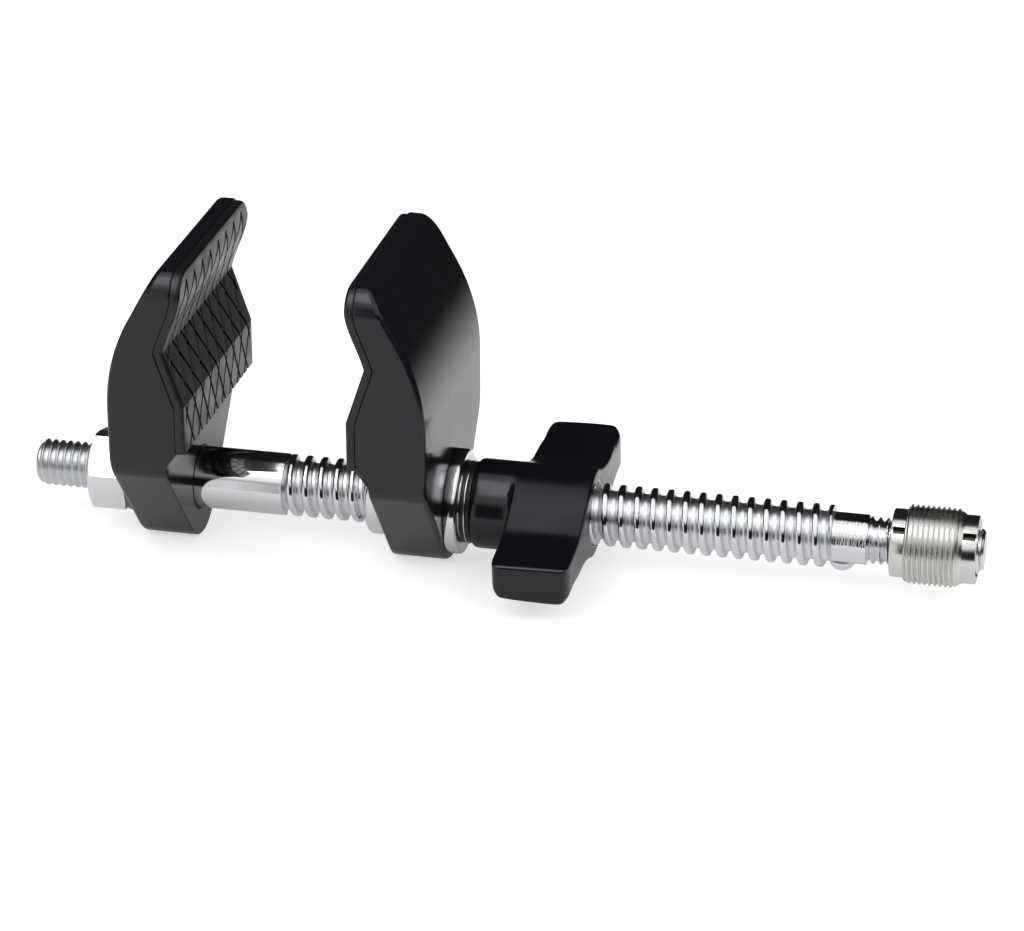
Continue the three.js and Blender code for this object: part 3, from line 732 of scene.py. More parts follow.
def turned(name, outline, segments=96):
    x, radius = outline[0]
    select_nothing()
    bpy.ops.mesh.primitive_circle_add(vertices=segments, radius=radius, location=(x, 0, 0),
                                      rotation=across_rod)
    piece = settle(name)
    bpy.ops.object.mode_set(mode="EDIT")
    bpy.ops.mesh.select_all(action="SELECT")
    if outline[-1] != outline[0]:
        bpy.ops.mesh.edge_face_add()
        bpy.ops.mesh.select_mode(type="FACE")
    for next_x, next_radius in outline[1:]:
        grow = next_radius / radius
        bpy.ops.mesh.extrude_region_move(TRANSFORM_OT_translate={"value": (next_x - x, 0, 0)})
        bpy.ops.transform.resize(value=(1, grow, grow), center_override=(next_x, 0, 0))
        x, radius = next_x, next_radius
    bpy.ops.object.mode_set(mode="OBJECT")
    merge_and_face_out(piece)
    return piece


def ring(name, low_x, high_x, inner, outer):
    return turned(name, [(low_x, inner), (low_x, outer), (high_x, outer), (high_x, inner),
                         (low_x, inner)])


def through_bore(name, low_x, high_x, radius, wide, mouth):
    """A cutter for a hole from face to face, with a chamfer at both mouths."""
    flared = wide + mouth + overrun
    return turned(name, [(low_x - overrun, flared), (low_x + mouth, radius),
                         (high_x - mouth, radius), (high_x + overrun, flared)])


# %% [markdown]
# A thread is one tooth wound up a helix. The tooth is a plane with its top edge drawn in and its
# bottom edge removed. A crest is never drawn in to a point, since its two corners would merge.

# %% One tooth
thinnest_crest = 0.02 * mm


def one_tooth(name, centre, crest, root, tooth, crest_flat):
    """A plane above the rod, as tall as the tooth and as wide as its foot."""
    middle = (crest + root) / 2
    select_nothing()
    bpy.ops.mesh.primitive_plane_add(size=1, location=(centre, 0, middle),
                                     rotation=(math.pi / 2, 0, 0))
    piece = bpy.context.active_object
    piece.scale = (tooth, crest - root, 1)
    piece = settle(name)
    edit(piece)
    pick(piece, lambda place: place.z > middle)
    narrow = max(crest_flat, thinnest_crest) / tooth
    bpy.ops.transform.resize(value=(narrow, 1, 1), center_override=(centre, 0, crest))
    pick(piece, lambda place: place.z < middle and abs(place.x - centre) < tooth / 4, "edges")
    bpy.ops.mesh.select_mode(type="EDGE")
    bpy.ops.mesh.delete(type="EDGE")
    bpy.ops.mesh.select_mode(type="VERT")
    return piece, middle


# %% [markdown]
# Half of the flat between two teeth is added at each side of the tooth, and bevels on its corners
# round the crest and the root. The Screw modifier winds it, with a few turns to spare, and two
# bisects trim the coil square and close it.

# %% Threads
bisect_snap = 0.0001 * mm
hair = 0.001 * mm
thread_weld = 0.002 * mm
spare_turns = 2
tooth_round_steps = 3


def wound_thread(name, start, end, crest, root, pitch, crest_flat, flank, crest_at_top,
                 crest_round, root_round=0, steps=64):
    """Thread between two x values; crest_at_top is where a crest passes the top of the rod."""
    tooth = crest_flat + 2 * flank
    first = math.floor((start - crest_at_top) / pitch) - spare_turns
    centre = crest_at_top + first * pitch
    piece, middle = one_tooth(name, centre, crest, root, tooth, crest_flat)
    for side in (-1, 1):
        pick(piece, lambda place: place.z < middle and side * (place.x - centre) > 0)
        bpy.ops.mesh.extrude_vertices_move(
            TRANSFORM_OT_translate={"value": (side * (pitch - tooth) / 2, 0, 0)})
    pick(piece, lambda place: place.z > middle)
    bpy.ops.mesh.bevel(offset=crest_round, segments=tooth_round_steps, affect="VERTICES",
                       offset_type="OFFSET")
    if root_round:
        foot = tooth / 2 + hair
        pick(piece, lambda place: place.z < root + hair and abs(place.x - centre) < foot)
        bpy.ops.mesh.bevel(offset=root_round, segments=tooth_round_steps, affect="VERTICES",
                           offset_type="OFFSET")
    bpy.ops.object.mode_set(mode="OBJECT")
    turns = math.ceil((end - start) / pitch) + 2 * spare_turns
    apply_modifier(piece, "SCREW", axis="X", screw_offset=pitch, angle=2 * math.pi,
                   steps=steps, render_steps=steps, iterations=turns, use_normal_calculate=True)
    merge_and_face_out(piece, thread_weld)
    for x, outwards in ((start, -1), (end, 1)):
        edit(piece)
        bpy.ops.mesh.select_all(action="SELECT")
        bpy.ops.mesh.bisect(plane_co=(x, 0, 0), plane_no=(outwards, 0, 0), use_fill=True,
                            clear_outer=True, threshold=bisect_snap)
        bpy.ops.object.mode_set(mode="OBJECT")
    merge_and_face_out(piece, thread_weld)
    return piece


# %% [markdown]
# The rod is one bar. From the left it has a stud, a smooth shank as thick as the thread, the
# coarse thread that drives the jaw, a thinner neck and a second stud. Each stretch is made as its
# own closed solid, a little longer than it shows, and the stretches are joined into one skin.

# %% The two studs
stud_radius = 6 * mm
stud_root = 4.9 * mm
stud_pitch = 2 * mm
stud_crest_at_top = 1.5 * mm
stud_crest_flat = 0.22 * mm
stud_flank = 0.86 * mm
stud_crest_round = 0.09 * mm
stud_chamfer = 1.3 * mm
stud_steps = 48
left_thread_end = 30 * mm
neck_end = 216.8 * mm
rod_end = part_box("main_rod")[1].x


def stud_thread(side, start, end, chamfer_outline):
    """A stud's thread, trimmed to the chamfer at its free end."""
    stud = wound_thread(side + "_stud", start, end, stud_radius, stud_root, stud_pitch,
                        stud_crest_flat, stud_flank, stud_crest_at_top, stud_crest_round,
                        steps=stud_steps)
    combine(stud, turned(side + "_chamfer", chamfer_outline), "INTERSECT")
    return stud


left_stud = stud_thread("left", 0, left_thread_end, [
    (0, stud_radius - stud_chamfer), (2 * stud_chamfer, stud_radius + stud_chamfer),
    (left_thread_end + overrun, stud_radius + stud_chamfer)])
right_stud = stud_thread("right", neck_end - overrun, rod_end, [
    (neck_end - 2 * overrun, stud_radius + stud_chamfer),
    (rod_end - 2 * stud_chamfer, stud_radius + stud_chamfer),
    (rod_end, stud_radius - stud_chamfer)])

# %% [markdown]
# The shank comes first, and the other stretches are joined to it one after another. Where two of
# them meet they overlap by half a millimetre, because faces that only touch don't join cleanly.

# %% Rod
rod_radius = 8 * mm
core_radius = stud_root + 0.03 * mm
shoulder_x = 36.2 * mm
coarse_start = 66.8 * mm
coarse_end = 207.8 * mm
coarse_radius = 7.95 * mm
coarse_root = 6.2 * mm
coarse_pitch = 4.1 * mm
coarse_crest_at_top = 2.475 * mm
coarse_crest_flat = 1.5 * mm
coarse_flank = 0.5 * mm
coarse_crest_round = 0.5 * mm
coarse_root_round = 0.5 * mm
neck_radius = 6.3 * mm

rod = turned("rod", [(shoulder_x, rod_radius), (coarse_start, rod_radius)])
shoulder_core = turned("shoulder_core", [
    (left_thread_end - overrun, core_radius), (shoulder_x + overrun, core_radius)])
coarse = wound_thread("coarse", coarse_start - overrun, coarse_end, coarse_radius, coarse_root,
                      coarse_pitch, coarse_crest_flat, coarse_flank, coarse_crest_at_top,
                      coarse_crest_round, coarse_root_round)
neck = turned("neck", [(coarse_end - overrun, neck_radius), (neck_end, neck_radius)])
for stretch in (shoulder_core, left_stud, coarse, neck, right_stud):
    combine(rod, stretch, "UNION")
print("rod length:", round(rod.dimensions.x / mm, 1), "mm")

# %% [markdown]
# A narrow groove runs along the underside of the rod, with round ends as a milling cutter leaves
# them. The tip of a small screw slides in it and keeps the moving jaw upright. The cutter is a
# block whose end edges are bevelled into half circles.

# %% Keyway under the rod
keyway_start = 56.95 * mm
keyway_end = 205.8 * mm
keyway_width = 4 * mm
keyway_floor = -5.4 * mm
keyway_depth = 6 * mm
keyway_round = 0.499 * keyway_width
keyway_round_steps = 12
near_middle = 0.5 * mm
rod_weld = 0.0003 * mm

keyway_middle = keyway_floor - keyway_depth / 2
keyway = block("keyway", ((keyway_start + keyway_end) / 2, 0, keyway_middle),
               (keyway_end - keyway_start, keyway_width, keyway_depth))
edit(keyway)
pick(keyway, lambda place: abs(place.z - keyway_middle) < near_middle, "edges")
bpy.ops.mesh.select_mode(type="EDGE")
bpy.ops.mesh.bevel(offset=keyway_round, segments=keyway_round_steps, affect="EDGES")
bpy.ops.object.mode_set(mode="OBJECT")
combine(rod, keyway, "DIFFERENCE")
merge_and_face_out(rod, rod_weld)
finish(rod, rod_chrome, "rod", "rod_chrome", "main_rod", angle=30)

# %% [markdown]
# A bought nut is a hexagonal bar whose corners are turned off to a cone at both faces, which
# leaves the curved line where each flat meets the face. The cone is a turned solid, and the nut
# keeps what lies inside it.

# %% Nut
nut_low, nut_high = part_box("hex_nut")
nut_flats = 19 * mm
nut_turn_degrees = 49
nut_chamfer = 0.9 * mm
nut_mouth = 0.5 * mm
thread_clearance = 0.15 * mm
edge_break = 0.18 * mm

nut = hex_bar("nut", ((nut_low.x + nut_high.x) / 2, 0, 0), nut_flats, nut_high.x - nut_low.x,
              across_rod)
nut.rotation_euler = (math.radians(nut_turn_degrees), 0, 0)
nut = settle("nut")
nut_face = nut_flats / 2 - edge_break
nut_cone = nut_flats / 2 / math.cos(math.pi / 6) + edge_break
combine(nut, turned("nut_cone", [
    (nut_low.x, nut_face), (nut_low.x + nut_chamfer, nut_cone),
    (nut_high.x - nut_chamfer, nut_cone), (nut_high.x, nut_face)]), "INTERSECT")
soften(nut, edge_break, steps=2, angle=25)
washer_bore = stud_radius + thread_clearance
combine(nut, through_bore("nut_bore", nut_low.x, nut_high.x, washer_bore, stud_radius, nut_mouth),
        "DIFFERENCE")
finish(nut, zinc, "rod", "zinc_plate", "hex_nut")

# %% [markdown]
# Behind the nut sit a flat washer and a spring washer. The flat one is a plain ring with broken
# edges. The spring washer is one turn of square wire, split where its two ends meet at a slant, so
# it is turned as a ring and a slanted block cuts the slot.

# %% Washers
flat_low, flat_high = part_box("flat_washer")
spring_low, spring_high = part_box("spring_washer")
spring_outer = spring_high.z
slot_length = 3 * spring_outer / 2
slot_width = 1.2 * mm
slot_slant_degrees = 20

flat_washer = ring("flat_washer_turned", flat_low.x, flat_high.x, washer_bore, flat_high.z)
soften(flat_washer, edge_break, steps=2)
# both washers are shown dark, as painted shade of the gap behind the nut
finish(flat_washer, washer_shade_steel, "rod", "zinc_plate", "flat_washer")
spring = ring("spring_washer_turned", spring_low.x, spring_high.x, washer_bore, spring_outer)
combine(spring, block("spring_slot", ((spring_low.x + spring_high.x) / 2, slot_width, spring_outer),
                      (slot_length, slot_width, spring_outer),
                      (0, 0, math.radians(slot_slant_degrees))), "DIFFERENCE")
soften(spring, edge_break, steps=2)
finish(spring, washer_shade_steel, "rod", "zinc_plate", "spring_washer")

# %% [markdown]
# The collar near the right end carries a fine thread on its middle, with a plain shoulder at each
# side. The thread is wound like the others and trimmed: a short chamfer on the left, and a long one
# on the right, where a socket screws on. It is then joined to the turned body and bored.

# %% End collar
collar_low, collar_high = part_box("end_collar")
collar_shoulder = 3.5 * mm
collar_shoulder_radius = 8.6 * mm
collar_edge = 0.35 * mm
collar_radius = 10 * mm
collar_root = 9.25 * mm
collar_pitch = 1.3 * mm
collar_crest_at_top = 0.975 * mm
collar_crest_flat = 0.16 * mm
collar_flank = 0.55 * mm
collar_crest_round = 0.07 * mm
collar_steps = 72
collar_chamfer = 0.9 * mm
collar_chamfer_length = 1.6 * collar_chamfer
long_chamfer = 3.6 * mm
long_chamfer_end = collar_shoulder_radius + 0.1 * mm
collar_mouth = 0.9 * mm

thread_low = collar_low.x + collar_shoulder
thread_high = collar_high.x - collar_shoulder
collar = turned("collar", [(collar_low.x, collar_shoulder_radius),
                           (collar_high.x, collar_shoulder_radius)])
soften(collar, collar_edge, steps=2)
fine = wound_thread("fine", thread_low, thread_high, collar_radius, collar_root, collar_pitch,
                    collar_crest_flat, collar_flank, collar_crest_at_top, collar_crest_round,
                    steps=collar_steps)
combine(fine, turned("fine_trim", [
    (thread_low, collar_radius - collar_chamfer),
    (thread_low + collar_chamfer_length, collar_radius + collar_chamfer),
    (thread_high - long_chamfer, collar_radius + collar_chamfer),
    (thread_high, long_chamfer_end)]), "INTERSECT")
combine(collar, fine, "UNION")
combine(collar, through_bore("collar_bore", collar_low.x, collar_high.x, washer_bore, stud_radius,
                             collar_mouth), "DIFFERENCE")
print("collar length:", round(collar.dimensions.x / mm, 1), "mm")

# %% [markdown]
# A pin spanner turns the collar by slots that are sawn along its shoulders, two in each. A block
# is placed on the shoulder at the angle of each slot and cut away.

# %% Spanner slots in the collar's shoulders
slot_across = 1.9 * mm
slot_deep = 1.7 * mm
slot_first_degrees = 44
slot_count = 2

for low_x, high_x in ((collar_low.x - overrun, thread_low), (thread_high, collar_high.x + overrun)):
    for number in range(slot_count):
        from_top = math.radians(slot_first_degrees + number * 360 / slot_count)
        reach = collar_shoulder_radius - slot_deep / 2 + overrun / 2
        combine(collar, block(
            "spanner_slot",
            ((low_x + high_x) / 2, -reach * math.sin(from_top), reach * math.cos(from_top)),
            (high_x - low_x, slot_across, slot_deep + overrun), (from_top, 0, 0)), "DIFFERENCE")
finish(collar, collar_steel, "rod", "turned_steel", "end_collar", angle=28)

# %% [markdown]
# The bush guides the moving jaw on the rod, and a thin washer takes the push of the handle. Both
# are turned, and their edges are rounded a little, because a real edge is never a line.

# %% Bush and thrust washer
bush_low, bush_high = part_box("guide_bush")
bush_radius = 10.4 * mm
bush_bore = rod_radius + 0.3 * mm
bush_bore_chamfer = 0.4 * mm
bush_head = bush_high.z
bush_head_thickness = 0.7 * mm
bush_head_start = bush_high.x - bush_head_thickness
bush_round = 1.2 * mm
bush_bend = 0.35 * bush_round
bush_edge = 0.15 * mm
thrust_edge = 0.1 * mm

bush = turned("bush", [
    (bush_low.x, bush_bore + bush_bore_chamfer), (bush_low.x, bush_radius - bush_round),
    (bush_low.x + bush_bend, bush_radius - bush_bend),
    (bush_low.x + bush_round, bush_radius), (bush_head_start, bush_radius),
    (bush_head_start, bush_head), (bush_high.x, bush_head), (bush_high.x, bush_bore),
    (bush_low.x + bush_bore_chamfer, bush_bore), (bush_low.x, bush_bore + bush_bore_chamfer)])
soften(bush, bush_edge, steps=2)
finish(bush, chrome, "sliding_jaw", "rod_chrome", "guide_bush")

thrust_low, thrust_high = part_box("thrust_washer")
thrust_washer = ring("thrust_washer_turned", thrust_low.x, thrust_high.x, bush_bore,
                     thrust_high.z)
soften(thrust_washer, thrust_edge, steps=2)
finish(thrust_washer, turned_steel, "sliding_jaw", "turned_steel", "thrust_washer")

# %% [markdown]
# The cap is the bright band that holds the handle to the jaw. It is a cup with a lip turned in at
# its right end, and its outer right edge is the one that catches the light, so that edge gets a
# larger rounding of its own.

# %% Cap
cap_low, cap_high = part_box("thrust_cap")
cap_radius = cap_high.z
cap_round = 0.85 * mm
cap_round_steps = 5
cap_lip = 10.1 * mm
cap_bore = 12.5 * mm
cap_lip_start = cap_high.x - 0.9 * mm
cap_edge = 0.2 * mm
near_face = 0.01 * mm
near_rim = 0.1 * mm

cap = turned("cap", [
    (cap_low.x, cap_bore), (cap_low.x, cap_radius), (cap_high.x, cap_radius),
    (cap_high.x, cap_lip), (cap_lip_start, cap_lip), (cap_lip_start, cap_bore),
    (cap_low.x, cap_bore)])
edit(cap, "EDGE")
pick(cap, lambda place: place.x > cap_high.x - near_face
     and math.hypot(place.y, place.z) > cap_radius - near_rim, "edges")
bpy.ops.mesh.bevel(offset=cap_round, segments=cap_round_steps, affect="EDGES")
bpy.ops.object.mode_set(mode="OBJECT")
soften(cap, cap_edge, steps=2, angle=50)
finish(cap, chrome, "sliding_jaw", "rod_chrome", "thrust_cap")

# %% [markdown]
# The insert is the steel nut inside the handle. Its flange sits in the cap, a thin ring shows in
# the gap beside the handle, and its nose shows at the handle's right end.

# %% Insert
insert_low, insert_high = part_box("threaded_insert")
handle_low, handle_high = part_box("wing_handle")
insert_flange = insert_high.z
insert_radius = 9.8 * mm
insert_bore = coarse_radius + 0.2 * mm
insert_nose = 8.72 * mm
insert_ring = 10.75 * mm
insert_ring_end = 115.55 * mm
insert_ring_thickness = 0.35 * mm
insert_ring_start = insert_ring_end - insert_ring_thickness
insert_end = handle_high.x - 0.05 * mm
insert_flange_end = cap_lip_start - 0.1 * mm
insert_mouth = (0.4 * mm, 0.25 * mm)
insert_edge = 0.12 * mm

insert = turned("insert", [
    (insert_low.x, insert_bore), (insert_low.x, insert_flange),
    (insert_flange_end, insert_flange), (insert_flange_end, insert_radius),
    (insert_ring_start, insert_radius), (insert_ring_start, insert_ring),
    (insert_ring_end, insert_ring), (insert_ring_end, insert_radius),
    (insert_high.x, insert_radius), (insert_high.x, insert_nose), (insert_end, insert_nose),
    (insert_end, insert_bore + insert_mouth[1]), (insert_end - insert_mouth[0], insert_bore),
    (insert_low.x, insert_bore)])
soften(insert, insert_edge, steps=2)
finish(insert, turned_steel, "handle", "turned_steel", "threaded_insert")

# %% [markdown]
# Two dark rubber rings fill the gap between the cap and the handle, one at each side of the
# insert's thin ring. They are painted shade and stand for the dark of that narrow gap. They are
# rings with well rounded edges, and a hair of room keeps them off the metal.

# %% Dark rings of painted shade
gap_shade_inner = insert_radius + 0.02 * mm
gap_shade_radius = 10.5 * mm
gap_shade_clearance = 0.05 * mm
gap_shade_edge = 0.3 * mm

gap_shade_rings = (("gap_shade_left", cap_high.x + 2 * gap_shade_clearance, insert_ring_start),
         ("gap_shade_right", insert_ring_end, handle_low.x))
# painted shade: each dark ring stands for the shade in the narrow gap beside the handle
for name, start, end in gap_shade_rings:
    gap_shade_ring = ring(name, start + gap_shade_clearance, end - gap_shade_clearance, gap_shade_inner, gap_shade_radius)
    soften(gap_shade_ring, gap_shade_edge)
    finish(gap_shade_ring, rubber, "handle", "pad_rubber")

# %% [markdown]
# Three small screws and pins sit under the clamp. Each is turned about its own upright axis, so
# it is made round the rod's axis first, and then turned to point down. The stop screw has a domed
# head, which is a quarter circle stepped into the outline, and a hexagonal bar cuts its socket.

# %% Stop screw
def turned_upright(name, x, outline, segments=48):
    """An outline of (z, radius) turned about a vertical line at x."""
    piece = turned(name, outline, segments)
    piece.rotation_euler = (0, -math.pi / 2, 0)
    piece.location = (x, 0, 0)
    return settle(name)


screw_low, screw_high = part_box("stop_screw")
stop_x = (screw_low.x + screw_high.x) / 2
stop_radius = (screw_high.x - screw_low.x) / 2
stop_seat = -5.85 * mm
stop_shank = 2 * mm
stop_socket_flats = 2.5 * mm
stop_socket_depth = 1.3 * mm
stop_edge = 0.12 * mm
dome_steps = 8
# the dome starts a part of a step out, so that its middle is a small flat
dome_start_share = 0.6

dome = []
for step in range(dome_steps):
    angle = math.pi / 2 * (step + dome_start_share) / (dome_steps - 1 + dome_start_share)
    dome.append((stop_seat - (stop_seat - screw_low.z) * math.cos(angle),
                 stop_radius * math.sin(angle)))
stop_screw = turned_upright("stop_screw_domed", stop_x, dome + [
    (stop_seat, stop_radius), (stop_seat, stop_shank), (screw_high.z, stop_shank)])
combine(stop_screw, hex_bar("stop_socket", (stop_x, 0, screw_low.z), stop_socket_flats,
                            2 * stop_socket_depth), "DIFFERENCE")
soften(stop_screw, stop_edge, steps=2, angle=40)
finish(stop_screw, chrome, "rod", "rod_chrome", "stop_screw")

# %% [markdown]
# The pin through the fixed jaw is a short bar with a chamfered end. The guide screw has a thinner
# tip that reaches into the keyway, and a socket like the stop screw's.

# %% Jaw pin and guide screw
pin_low, pin_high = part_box("jaw_pin")
pin_x = (pin_low.x + pin_high.x) / 2
pin_radius = (pin_high.x - pin_low.x) / 2
pin_end_radius = 0.75 * pin_radius
pin_chamfer = 0.3 * pin_radius
guide_low, guide_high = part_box("guide_screw")
guide_x = (guide_low.x + guide_high.x) / 2
guide_radius = (guide_high.x - guide_low.x) / 2
guide_end_radius = 0.85 * guide_radius
guide_chamfer = 0.2 * guide_radius
guide_tip = 1.7 * mm
guide_step = -8.6 * mm
guide_socket_flats = 3 * mm
guide_socket_depth = 2 * mm

pin = turned_upright("jaw_pin_turned", pin_x, [
    (pin_low.z, pin_end_radius), (pin_low.z + pin_chamfer, pin_radius), (pin_high.z, pin_radius)])
finish(pin, turned_steel, "rod", "turned_steel", "jaw_pin")
guide_screw = turned_upright("guide_screw_turned", guide_x, [
    (guide_low.z, guide_end_radius), (guide_low.z + guide_chamfer, guide_radius),
    (guide_step, guide_radius), (guide_step, guide_tip), (guide_high.z, guide_tip)])
combine(guide_screw, hex_bar("guide_socket", (guide_x, 0, guide_low.z), guide_socket_flats,
                             2 * guide_socket_depth), "DIFFERENCE")
finish(guide_screw, turned_steel, "sliding_jaw", "turned_steel", "guide_screw")

# %% [markdown]
# Both jaws come from one casting pattern: a plate with a round nose below, a flat front that leans
# into a notch, and a back that curves up to a thin top edge. So two small functions give the depth
# of the front and of the back at each height, and both jaws and both pads follow them.

# %% The side of a jaw, as depths behind the gripping face
jaw_half_width = 30.75 * mm
jaw_top = 67.7 * mm
jaw_bottom = -15.3 * mm
jaw_depth = 20.1 * mm
jaw_top_depth = 6.4 * mm
jaw_lean = math.radians(29.1)
jaw_bend_radius = 49 * mm
recess_depth = 5.4 * mm
recess_top = 15.2 * mm
pad_low = 20 * mm
pad_thickness = 2.3 * mm
notch_low = 32.4 * mm
notch_middle = 46.8 * mm
notch_high = 62.4 * mm
notch_depth = 4.8 * mm
notch_swell = 1.25
grip_x = {"fixed": 48.95 * mm, "moving": 90.45 * mm}
facing = {"fixed": -1, "moving": 1}


def notch(z):
    """How far the gripping face steps back at a height."""
    if z <= notch_low or z >= notch_high:
        return 0
    if z <= notch_middle:
        return notch_depth * (z - notch_low) / (notch_middle - notch_low)
    share = (z - notch_middle) / (notch_high - notch_middle)
    return notch_depth * (1 - share) ** 2 * (1 + notch_swell * share)


def front_depth(z):
    if z <= recess_top:
        return recess_depth
    if z < pad_low:
        share = (z - recess_top) / (pad_low - recess_top)
        return recess_depth + share * (pad_thickness - recess_depth)
    return pad_thickness + notch(z)


bend_depth = jaw_depth - jaw_bend_radius * (1 - math.cos(jaw_lean))
bend_top = jaw_top - (bend_depth - jaw_top_depth) / math.tan(jaw_lean)
bend_low = bend_top - jaw_bend_radius * math.sin(jaw_lean)


def back_depth(z):
    if z <= bend_low:
        return jaw_depth
    if z >= bend_top:
        return jaw_top_depth + (jaw_top - z) * math.tan(jaw_lean)
    angle = math.asin((z - bend_low) / jaw_bend_radius)
    return jaw_depth - jaw_bend_radius * (1 - math.cos(angle))


print("the back bends from", round(bend_low / mm, 1), "to", round(bend_top / mm, 1), "mm")

# %% [markdown]
# A jaw is what two simple solids share: one for its side view, and one for the view along the rod.
# The side view is built up station by station. A plane is extruded upwards and scaled to the depth
# at the next height.

# %% The side view as a solid
def side_view(name, which, heights, width):
    """A solid across Y whose front and back follow the two depths at each height."""
    base, turn = grip_x[which], facing[which]
    select_nothing()
    z = heights[0]
    near, far = front_depth(z), back_depth(z)
    bpy.ops.mesh.primitive_plane_add(size=1, location=(base + turn * (near + far) / 2, 0, z))
    piece = bpy.context.active_object
    piece.scale = (far - near, width, 1)
    piece = settle(name)
    bpy.ops.object.mode_set(mode="EDIT")
    bpy.ops.mesh.select_mode(type="FACE")
    bpy.ops.mesh.select_all(action="SELECT")
    for next_z in heights[1:]:
        next_near, next_far = front_depth(next_z), back_depth(next_z)
        shift = turn * (next_near + next_far - near - far) / 2
        middle = base + turn * (next_near + next_far) / 2
        bpy.ops.mesh.extrude_region_move(
            TRANSFORM_OT_translate={"value": (shift, 0, next_z - z)})
        bpy.ops.transform.resize(value=((next_far - next_near) / (far - near), 1, 1),
                                 center_override=(middle, 0, next_z))
        z, near, far = next_z, next_near, next_far
    bpy.ops.object.mode_set(mode="OBJECT")
    merge_and_face_out(piece)
    return piece


# %% [markdown]
# Seen along the rod, a jaw has rounded upper corners, straight sides, and two tapers that run down
# to a round nose. The outline is a plane with its lower edge drawn to a point. Its corners are
# bevelled while it is flat, one bevel for each pair and one for the nose, and then it is extruded.

# %% The view along the rod as a solid
jaw_taper_top = 14.2 * mm
jaw_tip = -22.4 * mm
jaw_nose_radius = 12.8 * mm
jaw_corner_radius = 7 * mm
jaw_taper_round = 3.3 * mm
view_before = 4 * mm
view_behind = 8 * mm
corner_steps = 14
taper_steps = 8
nose_steps = 24
close_by = 0.5 * mm


def round_corners(piece, wanted, radius, steps):
    pick(piece, wanted)
    bpy.ops.mesh.bevel(offset=radius, segments=steps, affect="VERTICES", offset_type="OFFSET",
                       profile=0.5)


def rod_view(which, top, before=view_before):
    """The outline seen along the rod, thick enough to hold the whole jaw."""
    base, turn = grip_x[which], facing[which]
    select_nothing()
    bpy.ops.mesh.primitive_plane_add(
        size=1, location=(base - turn * before, 0, (top + jaw_taper_top) / 2),
        rotation=across_rod)
    piece = bpy.context.active_object
    piece.scale = (top - jaw_taper_top, 2 * jaw_half_width, 1)
    piece = settle("rod_view")
    edit(piece)
    pick(piece, lambda place: place.z < jaw_taper_top + close_by, "edges")
    bpy.ops.mesh.select_mode(type="EDGE")
    bpy.ops.mesh.extrude_region_move(
        TRANSFORM_OT_translate={"value": (0, 0, jaw_tip - jaw_taper_top)})
    bpy.ops.mesh.merge(type="CENTER")
    bpy.ops.mesh.select_mode(type="VERT")
    half_angle = math.atan2(jaw_half_width, jaw_taper_top - jaw_tip)
    round_corners(piece, lambda place: place.z > top - close_by, jaw_corner_radius, corner_steps)
    round_corners(piece, lambda place: abs(place.z - jaw_taper_top) < close_by, jaw_taper_round,
                  taper_steps)
    round_corners(piece, lambda place: place.z < jaw_tip + close_by,
                  jaw_nose_radius / math.tan(half_angle), nose_steps)
    bpy.ops.mesh.select_mode(type="FACE")
    bpy.ops.mesh.select_all(action="SELECT")
    bpy.ops.mesh.dissolve_faces()
    bpy.ops.mesh.extrude_region_move(
        TRANSFORM_OT_translate={"value": (turn * (jaw_depth + view_behind), 0, 0)})
    bpy.ops.object.mode_set(mode="OBJECT")
    merge_and_face_out(piece)
    return piece


# %% [markdown]
# The casting's back edge is rounded wide enough to carry a thin line of light, and the edge
# beside the pad much less, so the joint between the two stays a fine dark line. The two edges are
# told apart by their depth: one lies behind the middle of the plate, the other before it.

# %% Jaw castings
back_round = 1.4 * mm
back_round_steps = 5
front_round = 0.45 * mm
front_round_steps = 3
sharp_degrees = 45
bend_stations = 22
notch_stations = 12
view_spare = 2 * mm
rounded_to = 7


def steps_between(low, high, count):
    return [low + (high - low) * step / count for step in range(count + 1)]


def round_sharp_edges(piece, wanted, radius, steps):
    """In edit mode, rounds the sharp edges whose place is wanted."""
    bpy.ops.mesh.select_mode(type="EDGE")
    bpy.ops.mesh.select_all(action="DESELECT")
    bpy.ops.mesh.edges_select_sharp(sharpness=math.radians(sharp_degrees))
    bpy.ops.object.mode_set(mode="OBJECT")
    for line in piece.data.edges:
        if line.select:
            line.select = bool(wanted(middle_of(piece.data, line)))
    bpy.ops.object.mode_set(mode="EDIT")
    bpy.ops.mesh.bevel(offset=radius, segments=steps, affect="EDGES", clamp_overlap=False)


def make_jaw(which, name):
    base, turn = grip_x[which], facing[which]
    heights = [jaw_bottom - view_spare, recess_top, pad_low, notch_low]
    heights += steps_between(bend_low, bend_top, bend_stations) + [notch_middle]
    heights += steps_between(notch_middle, notch_high, notch_stations) + [jaw_top + view_spare]
    heights = sorted(set(round(height, rounded_to) for height in heights))
    jaw = side_view(name, which, heights, 2 * (jaw_half_width + view_spare))
    combine(jaw, rod_view(which, jaw_top), "INTERSECT")

    def behind(place):
        depth = turn * (place.x - base)
        return depth > (front_depth(place.z) + back_depth(place.z)) / 2

    edit(jaw, "EDGE")
    round_sharp_edges(jaw, behind, back_round, back_round_steps)
    round_sharp_edges(jaw, lambda place: not behind(place), front_round, front_round_steps)
    bpy.ops.object.mode_set(mode="OBJECT")
    merge_and_face_out(jaw)
    return jaw


# %% [markdown]
# The bores are cut last, so they stay truly round, with a small chamfer at their mouths. The fixed
# jaw is bored for the stud and, from the front, for the shank. Weighted normals then keep the flat
# faces flat in the light, up to their rounded edges.

# %% Fixed jaw
bore_chamfer = 0.5 * mm
shoulder_gap = 0.1 * mm
pin_clearance = 0.1 * mm
normal_weight = 80
fixed_back = grip_x["fixed"] - jaw_depth
fixed_front = grip_x["fixed"] - recess_depth
shank_bore = rod_radius + thread_clearance


def even_shading(piece):
    """Flat faces keep a flat sheen right up to their rounded edges."""
    apply_modifier(piece, "WEIGHTED_NORMAL", mode="FACE_AREA", weight=normal_weight,
                   keep_sharp=True)


